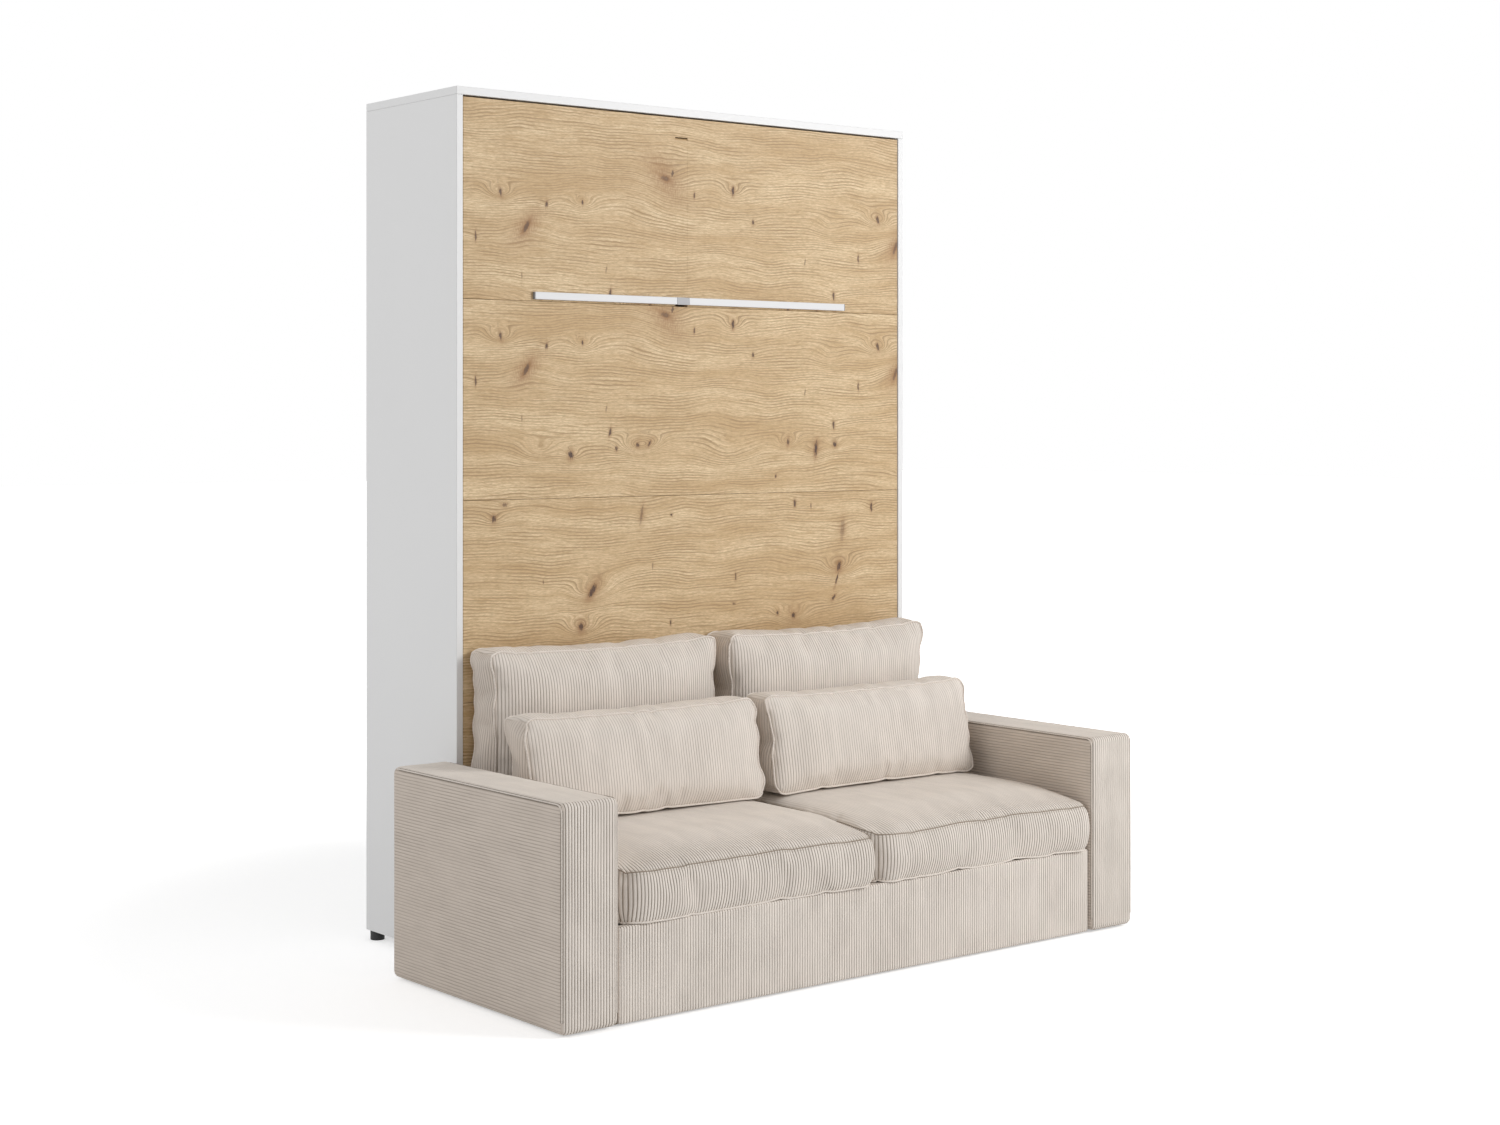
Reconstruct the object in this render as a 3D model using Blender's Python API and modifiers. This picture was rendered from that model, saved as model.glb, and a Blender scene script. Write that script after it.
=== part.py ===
"""Wall bed with a sofa in front of it, in metres, with +Z up.

The bed is shown closed. X runs along the wall, +Y points to the wall, and the floor is Z = 0.
The origin lies on the floor under the middle of the whole piece.
"""

import math

import bmesh
import bpy
from mathutils import Matrix, Vector

# Clearances
GAP = 0.0003
CUT_OVERRUN = 0.01
WELD = 0.0001

# Cabinet
CABINET_WIDTH = 1.494
CABINET_DEPTH = 0.443
CABINET_HEIGHT = 2.178
SIDE_THICKNESS = 0.018
TOP_THICKNESS = 0.020
PANEL_EDGE = 0.0008
FOOT_HEIGHT = 0.024
FOOT_RADIUS = 0.0185
FOOT_SIDE_INSET = 0.0195
FOOT_END_INSET = 0.0245
PLINTH_TOP = 0.150
PLINTH_THICKNESS = 0.016
TIE_THICKNESS = 0.018
UPPER_TIE_HEIGHT = 0.180
LOWER_TIE_HEIGHT = 0.100
LOWER_TIE_LIFT = 0.006

# Wall brackets under the top panel
BRACKET_LEG = 0.055
BRACKET_THICKNESS = 0.003
BRACKET_WIDTH = 0.060
BRACKET_PLACE = 0.450

# Oak front of the bed
FRONT_COUNT = 4
FRONT_SEAM = 0.0008
FRONT_THICKNESS = 0.016
FRONT_RECESS = 0.002
FRONT_SIDE_GAP = 0.002
FRONT_TOP_GAP = 0.0045
FRONT_LOW_GAP = 0.0035

# Sofa
SOFA_REACH = 0.713
ARM_WIDTH = 0.158
ARM_SIDE_GAP = 0.019
ARM_HEIGHT = 0.517
ARM_OVERLAP = 0.012
ARM_EDGE = 0.016
SKID_HEIGHT = 0.005
SKID_WIDTH = 0.050
SKID_END_INSET = 0.035
BASE_SIDE_GAP = 0.004
BASE_SETBACK = 0.010
BASE_FRONT_THICKNESS = 0.025
BASE_FRONT_EDGE = 0.005
BASE_FRAME_HEIGHT = 0.204
BASE_BOARD = 0.018
BASE_REAR_GAP = 0.012
SOFA_PLATE_LENGTH = 0.300
SOFA_PLATE_HEIGHT = 0.100
SOFA_PLATE_LIFT = 0.030

# Seat cushions
SEAT_BOXING = 0.115
SEAT_CROWN = 0.050
SEAT_SIDE_GAP = 0.006
SEAT_MIDDLE_GAP = 0.004
SEAT_FRONT_INSET = 0.006
SEAT_BULGE = 0.005
SEAT_DRAW = 0.008

# Back cushions
BACK_SIDE_GAP = 0.031
BACK_HEIGHT = 0.402
BACK_BOXING = 0.092
BACK_FRONT_CROWN = 0.055
BACK_REAR_CROWN = 0.018
BACK_MIDDLE_GAP = 0.006
BACK_BULGE = 0.008
BACK_DRAW = 0.014

# Lumbar cushions
LUMBAR_SIDE_GAP = 0.025
LUMBAR_HEIGHT = 0.252
LUMBAR_BOXING = 0.082
LUMBAR_FRONT_CROWN = 0.034
LUMBAR_REAR_CROWN = 0.010
LUMBAR_MIDDLE_GAP = 0.006
LUMBAR_BULGE = 0.006
LUMBAR_DRAW = 0.012
LUMBAR_LEAN = 0.050
LUMBAR_CLEARANCE = 0.007

# Cushion outlines, as shares of a cushion's own sizes
CAGE_CUTS = (5, 3, 1)
SIDE_CROWN_SHARE = 0.55
CROWN_RISE_SHARE = 0.65
SEAM_CREASE_SHARE = 0.9
REAR_SPREAD_SHARE = 2.0
LUMBAR_FOREMOST_SHARE = 0.45

# Pivot of the bed
BED_OVER_SEAT = 0.0394
PIVOT_FRONT_GAP = 0.0005
PIVOT_PIN_RADIUS = 0.008
PIVOT_RUNNING_GAP = 0.0004
PIVOT_BOSS_RADIUS = 0.0115
PIVOT_PLATE_GAP = 0.001
PIVOT_PLATE_THICKNESS = 0.004
PIVOT_PLATE_DEPTH = 0.080
PIVOT_PLATE_HEIGHT = 0.105
PIVOT_CORNER_SIDES = 8
HUB_THICKNESS = 0.005
HUB_RISE = 0.045

# Steel frame of the bed
RAIL_WIDTH = 0.040
RAIL_DEPTH = 0.040
RAIL_WALL = 0.0015
RAIL_END_INSET = 0.0065
RAIL_TOP_INSET = 0.0235
BEAM_WIDTH = 0.030
BEAM_DEPTH = 0.040

# Slats, held at their distance by ribbons
SLAT_COUNT = 14
SLAT_WIDTH = 0.060
SLAT_THICKNESS = 0.008
SLAT_END_INSET = 0.010
SLAT_FIRST_INSET = 0.045
RIBBON_WIDTH = 0.030
RIBBON_RISE = 0.001
RIBBON_SINK = 0.0005
RIBBON_PLACE = 0.420

# Mattress
MATTRESS_SIDE_GAP = 0.029
MATTRESS_THICKNESS = 0.180
MATTRESS_TOP_INSET = 0.0185
MATTRESS_LOW_REACH = 0.0185
MATTRESS_EDGE = 0.012
STOP_LEG = 0.100
STOP_FLANGE = 0.040
STOP_THICKNESS = 0.003
STOP_WIDTH = 0.900
STRAP_WIDTH = 0.040
STRAP_THICKNESS = 0.0015
LOWER_STRAP_SHARE = 0.5075
UPPER_STRAP_SHARE = 0.8225

# Folding leg, which is also the handle
POST_PLACE = -0.049
POST_WIDTH = 0.040
SLOT_GAP = 0.0005
SLOT_TOP_GAP = 0.0012
BAR_LENGTH = 1.038
BAR_HEIGHT = 0.019
BAR_PROUD = 0.009
BAR_LIFT = 0.005
LEG_HINGE_DROP = 0.0605
BAR_EDGE = 0.001
LEG_FLOOR_GAP = 0.0005
LEG_PIN_RADIUS = 0.003
LEG_PIN_GAP = 0.0004
LEG_BLOCK_LENGTH = 0.018
LEG_BLOCK_HALF_HEIGHT = 0.012
LEG_BLOCK_FRONT_SKIN = 0.0035

# Gas struts, in the gap between the frame and the cabinet's side
STRUT_THICKNESS = 0.020
STRUT_ROD_RADIUS = 0.005
STRUT_PISTON_RADIUS = 0.0057
STRUT_PISTON_LENGTH = 0.008
STRUT_BORE_RADIUS = 0.006
STRUT_EYE_RADIUS = 0.0095
STRUT_STUD_RADIUS = 0.004
STRUT_STUD_GAP = 0.0004
STRUT_SIDE_GAP = 0.0012
STRUT_HUB_GAP = 0.0082
STRUT_BODY_LENGTH = 0.275
STRUT_BORE_START = 0.030
STRUT_OVERLAP = 0.030
STRUT_ANCHOR_INSET = 0.110
STRUT_ANCHOR_RISE = 0.345
STRUT_STUD_INSET = 0.058
STRUT_STUD_DROP = 0.180
ANCHOR_PLATE_SIZE = 0.050
HUB_STUD_MARGIN = 0.0095

# Bumpers that the closed bed rests against
BUMPER_WIDTH = 0.012
BUMPER_DEPTH = 0.012
BUMPER_HEIGHT = 0.020
BUMPER_DROP = 0.085

# Path that stands for lifting the loose cushions away
CUSHION_PATH_SHARE = 0.45
CUSHION_FLOOR_GAP = 0.004

ROUND_SIDES = 24
SMALL_SIDES = 16
SHARP_DEGREES = 40
OUTLINE_TURN = Matrix(((0, 0, 1, 0), (1, 0, 0, 0), (0, 1, 0, 0), (0, 0, 0, 1)))

# Places worked out from the sizes above
FRONT_Y = (SOFA_REACH - CABINET_DEPTH) / 2
REAR_Y = FRONT_Y + CABINET_DEPTH
HALF_WIDTH = CABINET_WIDTH / 2
INNER_X = HALF_WIDTH - SIDE_THICKNESS
TOP_UNDERSIDE = CABINET_HEIGHT - TOP_THICKNESS
FRONT_TOP = TOP_UNDERSIDE - FRONT_TOP_GAP
FRONT_BOTTOM = PLINTH_TOP + FRONT_LOW_GAP
FRONT_HALF = INNER_X - FRONT_SIDE_GAP
FRONT_FACE = FRONT_Y + FRONT_RECESS
FRONT_REAR = FRONT_FACE + FRONT_THICKNESS
RAIL_FACE = FRONT_REAR + GAP
RAIL_REAR = RAIL_FACE + RAIL_DEPTH
RAIL_TOP = FRONT_TOP - RAIL_TOP_INSET
RAIL_BOTTOM = FRONT_BOTTOM + RAIL_END_INSET
STRUT_OUTER = INNER_X - GAP - PIVOT_PLATE_THICKNESS - STRUT_SIDE_GAP
STRUT_INNER = STRUT_OUTER - STRUT_THICKNESS
STRUT_MIDDLE = (STRUT_OUTER + STRUT_INNER) / 2
RAIL_SIDE_REACH = STRUT_INNER - STRUT_HUB_GAP - HUB_THICKNESS - GAP
RAIL_INNER = RAIL_SIDE_REACH - RAIL_WIDTH
SLAT_FACE = RAIL_REAR + GAP
SLAT_REAR = SLAT_FACE + SLAT_THICKNESS
MATTRESS_FACE = SLAT_REAR + RIBBON_RISE + GAP
MATTRESS_REAR = MATTRESS_FACE + MATTRESS_THICKNESS
MATTRESS_TOP = FRONT_TOP - MATTRESS_TOP_INSET
MATTRESS_BOTTOM = FRONT_BOTTOM - MATTRESS_LOW_REACH
MATTRESS_HALF = INNER_X - MATTRESS_SIDE_GAP

ARM_INNER = HALF_WIDTH + ARM_SIDE_GAP
SOFA_HALF = ARM_INNER + ARM_WIDTH
ARM_FRONT = FRONT_Y - SOFA_REACH
BASE_HALF = ARM_INNER - BASE_SIDE_GAP
BASE_FRONT_FACE = ARM_FRONT + BASE_SETBACK
BASE_FRONT_REAR = BASE_FRONT_FACE + BASE_FRONT_THICKNESS
BASE_REAR = FRONT_Y - BASE_REAR_GAP
DECK_BOTTOM = BASE_FRAME_HEIGHT + GAP
DECK_TOP = DECK_BOTTOM + BASE_BOARD
SEAT_BOTTOM = DECK_TOP + GAP
SEAT_TOP = SEAT_BOTTOM + SEAT_BOXING + SEAT_CROWN
CUSHION_BOTTOM = SEAT_TOP + GAP
BACK_WIDTH = ARM_INNER - BACK_MIDDLE_GAP / 2 - BACK_SIDE_GAP
LUMBAR_WIDTH = ARM_INNER - LUMBAR_MIDDLE_GAP / 2 - LUMBAR_SIDE_GAP
BACK_REAR_SEAM = FRONT_FACE - GAP - BACK_REAR_CROWN
BACK_FRONT_SEAM = BACK_REAR_SEAM - BACK_BOXING
LUMBAR_TOP_REAR = BACK_FRONT_SEAM - BACK_FRONT_CROWN - LUMBAR_CLEARANCE
LUMBAR_LOW_REAR = LUMBAR_TOP_REAR - LUMBAR_LEAN

PIVOT_Y = FRONT_REAR + PIVOT_FRONT_GAP + PIVOT_BOSS_RADIUS
PIVOT_Z = SEAT_TOP + BED_OVER_SEAT + PIVOT_Y - FRONT_FACE
POST_MIDDLE_Y = (FRONT_FACE + FRONT_REAR) / 2
LEG_REACH = PIVOT_Z - (PIVOT_Y - POST_MIDDLE_Y) - LEG_FLOOR_GAP
LEG_HINGE_Z = FRONT_TOP - LEG_HINGE_DROP
BAR_BOTTOM = LEG_HINGE_Z - LEG_REACH
FIRST_SEAM = BAR_BOTTOM - BAR_LIFT
POST_ROUND = FRONT_THICKNESS / 2
BAR_FRONT = FRONT_FACE - BAR_PROUD
BAR_REAR = FRONT_FACE - GAP

STRUT_TOP = Vector((0, FRONT_Y + STRUT_ANCHOR_INSET, PIVOT_Z + STRUT_ANCHOR_RISE))
STRUT_STUD = Vector((0, FRONT_Y + STRUT_STUD_INSET, PIVOT_Z - STRUT_STUD_DROP))
STRUT_LENGTH = (STRUT_STUD - STRUT_TOP).length
STRUT_ALONG = (STRUT_STUD - STRUT_TOP).normalized()
ALONG_X = Vector((1, 0, 0))

CUSHION_AXIS_Y = FRONT_Y - (FRONT_TOP - FRONT_BOTTOM) * CUSHION_PATH_SHARE
LUMBAR_FOREMOST = LUMBAR_LOW_REAR - LUMBAR_BOXING - LUMBAR_FRONT_CROWN * LUMBAR_FOREMOST_SHARE
CUSHION_AXIS_Z = CUSHION_FLOOR_GAP + CUSHION_AXIS_Y - LUMBAR_FOREMOST

SIDES = (("left", -1), ("right", 1))


def clear_scene():
    """Remove every object that the file holds."""
    for item in list(bpy.data.objects):
        bpy.data.objects.remove(item, do_unlink=True)


def new_collection(name):
    """Make a collection in the scene."""
    made = bpy.data.collections.new(name)
    bpy.context.scene.collection.children.link(made)
    return made


def finish(name, colour, roughness, metallic=0.0):
    """Make a plain material."""
    material = bpy.data.materials.new(name)
    material.use_nodes = True
    shader = material.node_tree.nodes["Principled BSDF"]
    shader.inputs["Base Color"].default_value = (*colour, 1.0)
    shader.inputs["Roughness"].default_value = roughness
    shader.inputs["Metallic"].default_value = metallic
    material.diffuse_color = (*colour, 1.0)
    return material


def add_piece(name, work, centre, material, smooth=False):
    """Turn a bmesh, whose points are counted from centre, into a part."""
    mesh = bpy.data.meshes.new(name)
    work.to_mesh(mesh)
    work.free()
    mesh.materials.append(material)
    if smooth:
        mesh.shade_smooth()
        mesh.set_sharp_from_angle(angle=math.radians(SHARP_DEGREES))
    piece = bpy.data.objects.new(name, mesh)
    piece.location = centre
    PARTS.objects.link(piece)
    return piece


def round_edges(piece, width, segments=1):
    """Round the sharp edges of a part."""
    bevel = piece.modifiers.new("rounded edges", "BEVEL")
    bevel.width = width
    bevel.segments = segments
    bevel.limit_method = "ANGLE"
    return piece


def middle(low, high):
    """Find the middle of a box."""
    return Vector([(a + b) / 2 for a, b in zip(low, high)])


def boxes(name, spans, material, edge=0.0, segments=1):
    """Make one or more separate boxes, each given by its two corners."""
    centre = middle(*spans[0])
    work = bmesh.new()
    for low, high in spans:
        size = [b - a for a, b in zip(low, high)]
        place = Matrix.Translation(middle(low, high) - centre) @ Matrix.Diagonal((*size, 1))
        bmesh.ops.create_cube(work, size=1, matrix=place)
    piece = add_piece(name, work, centre, material)
    if edge:
        round_edges(piece, edge, segments)
    return piece


def box(name, low, high, material, edge=0.0, segments=1):
    """Make one box."""
    return boxes(name, [(low, high)], material, edge, segments)


def rods(name, spans, radius, material, sides=ROUND_SIDES):
    """Make one or more separate round bars, each from a start to an end."""
    centre = middle(*spans[0])
    work = bmesh.new()
    for start, end in spans:
        along = Vector(end) - Vector(start)
        turn = along.to_track_quat("Z", "Y").to_matrix().to_4x4()
        place = Matrix.Translation(middle(start, end) - centre) @ turn
        bmesh.ops.create_cone(work, cap_ends=True, segments=sides, radius1=radius,
                              radius2=radius, depth=along.length, matrix=place)
    return add_piece(name, work, centre, material, smooth=True)


def rod(name, start, end, radius, material, sides=ROUND_SIDES):
    """Make one round bar."""
    return rods(name, [(start, end)], radius, material, sides)


def outline(name, points, low_x, high_x, material):
    """Make a plate from an outline in Y and Z, between two places along X."""
    drawn = bpy.data.curves.new(name, "CURVE")
    drawn.dimensions = "2D"
    drawn.fill_mode = "BOTH"
    drawn.extrude = (high_x - low_x) / 2
    line = drawn.splines.new("POLY")
    line.points.add(len(points) - 1)
    start = Vector(points[0])
    for spot, (y, z) in zip(line.points, points):
        spot.co = (y - start.x, z - start.y, 0, 1)
    line.use_cyclic_u = True
    flat = bpy.data.objects.new(name, drawn)
    flat.matrix_world = Matrix.Translation(((low_x + high_x) / 2, start.x, start.y)) @ OUTLINE_TURN
    PARTS.objects.link(flat)
    bpy.context.view_layer.update()
    seen = flat.evaluated_get(bpy.context.evaluated_depsgraph_get())
    mesh = bpy.data.meshes.new_from_object(seen)
    work = bmesh.new()
    work.from_mesh(mesh)
    bmesh.ops.remove_doubles(work, verts=work.verts, dist=WELD)
    bmesh.ops.recalc_face_normals(work, faces=work.faces)
    work.to_mesh(mesh)
    work.free()
    mesh.materials.clear()
    mesh.materials.append(material)
    piece = bpy.data.objects.new(name, mesh)
    piece.matrix_world = flat.matrix_world
    bpy.data.objects.remove(flat, do_unlink=True)
    PARTS.objects.link(piece)
    piece.name = name
    return piece


def as_tool(piece):
    """Set a shape aside as a cutter."""
    PARTS.objects.unlink(piece)
    CUTTERS.objects.link(piece)
    piece.hide_render = True
    piece.display_type = "WIRE"
    return piece


def cut(piece, tool, name="cut"):
    """Cut a tool's shape out of a part."""
    step = piece.modifiers.new(name, "BOOLEAN")
    step.operation = "DIFFERENCE"
    step.object = as_tool(tool)
    return piece


def join(piece, tool, name="join"):
    """Join a tool's shape to a part, as one solid."""
    step = piece.modifiers.new(name, "BOOLEAN")
    step.operation = "UNION"
    step.object = as_tool(tool)
    return piece


def joint_axis(name, place):
    """Mark a joint's axis with an empty."""
    empty = bpy.data.objects.new(name, None)
    empty.location = place
    empty.empty_display_type = "ARROWS"
    PARTS.objects.link(empty)
    return empty


def carry(pieces, empty):
    """Parent pieces to a joint's axis without moving them."""
    bpy.context.view_layer.update()
    for piece in pieces:
        piece.parent = empty
        piece.matrix_parent_inverse = empty.matrix_world.inverted()


def arc(centre_y, centre_z, radius, start, end, steps):
    """List the points of an arc in Y and Z, with its angles in degrees."""
    angles = [math.radians(start + (end - start) * i / steps) for i in range(steps + 1)]
    return [(centre_y + radius * math.cos(a), centre_z + radius * math.sin(a)) for a in angles]


def mirror_span(low, high, side):
    """Give a box of the right side its place on either side."""
    ends = sorted((side * low[0], side * high[0]))
    return (ends[0], low[1], low[2]), (ends[1], high[1], high[2])


def cushion_cage(name, material, centre, place):
    """Shape a coarse cage with a formula, crease its seams and subdivide it."""
    work = bmesh.new()
    bmesh.ops.create_cube(work, size=2)
    for axis, cuts in enumerate(CAGE_CUTS):
        along = [e for e in work.edges
                 if abs(e.verts[0].co[axis] - e.verts[1].co[axis]) > abs(e.verts[0].co[axis])]
        bmesh.ops.subdivide_edges(work, edges=along, cuts=cuts, use_grid_fill=True)
    crease = work.edges.layers.float.new("crease_edge")
    for edge in work.edges:
        if all(on_seam(v.co) for v in edge.verts) and on_one_seam(edge):
            edge[crease] = SEAM_CREASE_SHARE
    for vert in work.verts:
        vert.co = place(*vert.co)
    piece = add_piece(name, work, centre, material)
    piece.data.shade_smooth()
    soft = piece.modifiers.new("soft", "SUBSURF")
    soft.levels = 1
    soft.render_levels = 1
    return piece


def at_end(value):
    """Tell whether a cage coordinate lies at its end."""
    return abs(abs(value) - 1) < WELD


def on_seam(spot):
    """Tell whether a cage point lies on one of the two seams round the edge."""
    return at_end(spot.z) and (at_end(spot.x) or at_end(spot.y))


def on_one_seam(edge):
    """Tell whether an edge runs along a seam and not across the border."""
    a, b = (v.co for v in edge.verts)
    return abs(a.z - b.z) < WELD


def dome(u, v):
    """Give the crown of a stuffed panel, 1 in the middle and 0 along the seams."""
    return (1 - u ** 4) * (1 - v ** 4)


def seat_cushion(name, side, material):
    """A seat cushion: flat below, crowned above, its sides drawn in."""
    inner = SEAT_MIDDLE_GAP / 2
    outer = BASE_HALF - SEAT_SIDE_GAP
    half_x = (outer - inner) / 2
    front = ARM_FRONT + SEAT_FRONT_INSET
    half_y = (BASE_REAR - front) / 2
    centre = Vector((side * (inner + outer) / 2, front + half_y, SEAT_BOTTOM))

    def place(u, v, w):
        rise = min(1.0, (v + 1) / CROWN_RISE_SHARE)
        rise = rise * rise * (3 - 2 * rise)
        crown = SEAT_CROWN * rise * (1 - (1 - SIDE_CROWN_SHARE) * u ** 4)
        height = (w + 1) / 2 * (SEAT_BOXING + crown)
        swell = SEAT_BULGE * (1 - w * w)
        x = u * half_x - SEAT_DRAW * (1 - v * v) * u ** 3 + swell * u ** 5 * (1 - v * v)
        y = v * half_y - swell * (1 - v) / 2 * (1 - u ** 4)
        return Vector((x, y, height))

    return cushion_cage(name, material, centre, place)


def upright_cushion(name, side, material, width, height, boxing, front_crown, rear_crown,
                    middle_gap, bulge, draw, rear_top, lean):
    """A cushion that stands on the seat: flat below, both faces crowned."""
    half_x = width / 2
    half_z = height / 2
    centre = Vector((side * (middle_gap / 2 + half_x), rear_top - boxing / 2,
                     CUSHION_BOTTOM + half_z))

    def place(u, v, w):
        crown = dome(u, v)
        if w > 0:
            y = -w * (boxing / 2 + front_crown * crown)
        else:
            y = -w * (boxing / 2 + rear_crown * min(1.0, crown * REAR_SPREAD_SHARE))
        swell = bulge * (1 - w * w)
        x = u * half_x - draw * (1 - v * v) * u ** 3 + swell * u ** 5 * (1 - v ** 4)
        z = v * half_z
        if v > 0:
            z += swell * v ** 5 * (1 - u ** 4)
        return Vector((x, y - lean * (1 - v) / 2, z))

    return cushion_cage(name, material, centre, place)


def build_cabinet():
    """The white carcass, its feet, ties, wall brackets and bumpers."""
    for label, side in SIDES:
        span = mirror_span((INNER_X, FRONT_Y, FOOT_HEIGHT),
                           (HALF_WIDTH, REAR_Y, TOP_UNDERSIDE - GAP), side)
        box("side_panel_" + label, *span, WHITE, PANEL_EDGE)
    box("top_panel", (-HALF_WIDTH, FRONT_Y, TOP_UNDERSIDE),
        (HALF_WIDTH, REAR_Y, CABINET_HEIGHT), WHITE, PANEL_EDGE)
    reach = INNER_X - GAP
    box("plinth_board", (-reach, FRONT_Y, FOOT_HEIGHT),
        (reach, FRONT_Y + PLINTH_THICKNESS, PLINTH_TOP), WHITE, PANEL_EDGE)
    tie_face = REAR_Y - TIE_THICKNESS
    tie_top = TOP_UNDERSIDE - GAP
    box("upper_tie_board", (-reach, tie_face, tie_top - UPPER_TIE_HEIGHT),
        (reach, REAR_Y, tie_top), WHITE, PANEL_EDGE)
    tie_low = FOOT_HEIGHT + LOWER_TIE_LIFT
    box("lower_tie_board", (-reach, tie_face, tie_low),
        (reach, REAR_Y, tie_low + LOWER_TIE_HEIGHT), WHITE, PANEL_EDGE)
    build_feet()
    build_wall_brackets(tie_face, tie_top)
    build_bumpers()


def build_feet():
    """Four black glides under the cabinet's corners."""
    ends = (("front", FRONT_Y + FOOT_END_INSET), ("rear", REAR_Y - FOOT_END_INSET))
    for label, side in SIDES:
        x = side * (HALF_WIDTH - FOOT_SIDE_INSET)
        for end, y in ends:
            rod("cabinet_foot_" + end + "_" + label, (x, y, 0), (x, y, FOOT_HEIGHT - GAP),
                FOOT_RADIUS, BLACK)


def build_wall_brackets(tie_face, tie_top):
    """Steel angles that join the top, the upper tie and the wall."""
    face = tie_face - GAP
    low = tie_top - BRACKET_LEG
    inside = face - BRACKET_THICKNESS
    under = tie_top - BRACKET_THICKNESS
    points = [(face, low), (face, tie_top), (face - BRACKET_LEG, tie_top),
              (face - BRACKET_LEG, under), (inside, under), (inside, low)]
    for label, side in SIDES:
        x = side * BRACKET_PLACE
        outline("wall_bracket_" + label, points, x - BRACKET_WIDTH / 2, x + BRACKET_WIDTH / 2, STEEL)


def build_bumpers():
    """Rubber blocks on the sides, behind the top corners of the closed front."""
    top = FRONT_TOP - BUMPER_DROP
    low = (INNER_X - GAP - BUMPER_WIDTH, FRONT_REAR + GAP, top - BUMPER_HEIGHT)
    high = (INNER_X - GAP, FRONT_REAR + GAP + BUMPER_DEPTH, top)
    for label, side in SIDES:
        box("closing_bumper_" + label, *mirror_span(low, high, side), BLACK)


def build_pivots():
    """On each side of the cabinet, a plate with the pin that the bed turns on."""
    corner = PIVOT_BOSS_RADIUS
    low_y = PIVOT_Y - corner
    low_z = PIVOT_Z - corner
    points = arc(PIVOT_Y, PIVOT_Z, corner, 180, 270, PIVOT_CORNER_SIDES)
    points += [(low_y + PIVOT_PLATE_DEPTH, low_z),
               (low_y + PIVOT_PLATE_DEPTH, low_z + PIVOT_PLATE_HEIGHT),
               (low_y, low_z + PIVOT_PLATE_HEIGHT)]
    outer = INNER_X - GAP
    inner = outer - PIVOT_PLATE_THICKNESS
    pin_end = RAIL_SIDE_REACH + GAP
    for label, side in SIDES:
        span = sorted((side * inner, side * outer))
        plate = outline("pivot_plate_" + label, points, *span, STEEL)
        pin = rod("pivot_pin_" + label, (side * pin_end, PIVOT_Y, PIVOT_Z),
                  (side * (inner + outer) / 2, PIVOT_Y, PIVOT_Z), PIVOT_PIN_RADIUS, STEEL)
        join(plate, pin)


def build_strut_anchors():
    """On each side of the cabinet, a plate with the stud that holds a gas strut."""
    outer = INNER_X - GAP
    inner = outer - PIVOT_PLATE_THICKNESS
    half = ANCHOR_PLATE_SIZE / 2
    for label, side in SIDES:
        span = mirror_span((inner, STRUT_TOP.y - half, STRUT_TOP.z - half),
                           (outer, STRUT_TOP.y + half, STRUT_TOP.z + half), side)
        plate = box("strut_anchor_" + label, *span, STEEL)
        stud = rod("anchor_stud_" + label, (side * (STRUT_INNER + GAP), STRUT_TOP.y, STRUT_TOP.z),
                   (side * (inner + outer) / 2, STRUT_TOP.y, STRUT_TOP.z),
                   STRUT_STUD_RADIUS, STEEL, SMALL_SIDES)
        join(plate, stud)


def build_front():
    """The oak boards. The top one holds the leg in a slot, and the others share the rest evenly."""
    pitch = (FIRST_SEAM - FRONT_BOTTOM) / (FRONT_COUNT - 1)
    tops = [FRONT_TOP] + [FIRST_SEAM - i * pitch for i in range(FRONT_COUNT - 1)]
    lows = [top + FRONT_SEAM for top in tops[1:]] + [FRONT_BOTTOM]
    made = []
    for i, (low, top) in enumerate(zip(lows, tops)):
        made.append(box("front_board_%d" % (i + 1), (-FRONT_HALF, FRONT_FACE, low),
                        (FRONT_HALF, FRONT_REAR, top), OAK, PANEL_EDGE))
    half = POST_WIDTH / 2 + SLOT_GAP
    slot_top = LEG_HINGE_Z + POST_ROUND + SLOT_TOP_GAP
    slot = box("leg_slot", (POST_PLACE - half, FRONT_FACE - CUT_OVERRUN, FIRST_SEAM - CUT_OVERRUN),
               (POST_PLACE + half, FRONT_REAR + CUT_OVERRUN, slot_top), OAK)
    cut(made[0], slot)
    reach = POST_WIDTH / 2 + SLOT_GAP + GAP + LEG_BLOCK_LENGTH + GAP
    tall = LEG_BLOCK_HALF_HEIGHT + GAP
    pocket = box("hinge_pocket",
                 (POST_PLACE - reach, FRONT_FACE + LEG_BLOCK_FRONT_SKIN, LEG_HINGE_Z - tall),
                 (POST_PLACE + reach, FRONT_REAR + CUT_OVERRUN, LEG_HINGE_Z + tall), OAK)
    cut(made[0], pocket)
    return made


def tube(name, low, high, axis, material):
    """A square steel tube, open at both ends."""
    piece = box(name, low, high, material)
    inner_low = [a + RAIL_WALL for a in low]
    inner_high = [b - RAIL_WALL for b in high]
    inner_low[axis] = low[axis] - CUT_OVERRUN
    inner_high[axis] = high[axis] + CUT_OVERRUN
    return cut(piece, box(name + "_bore", inner_low, inner_high, material))


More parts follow.
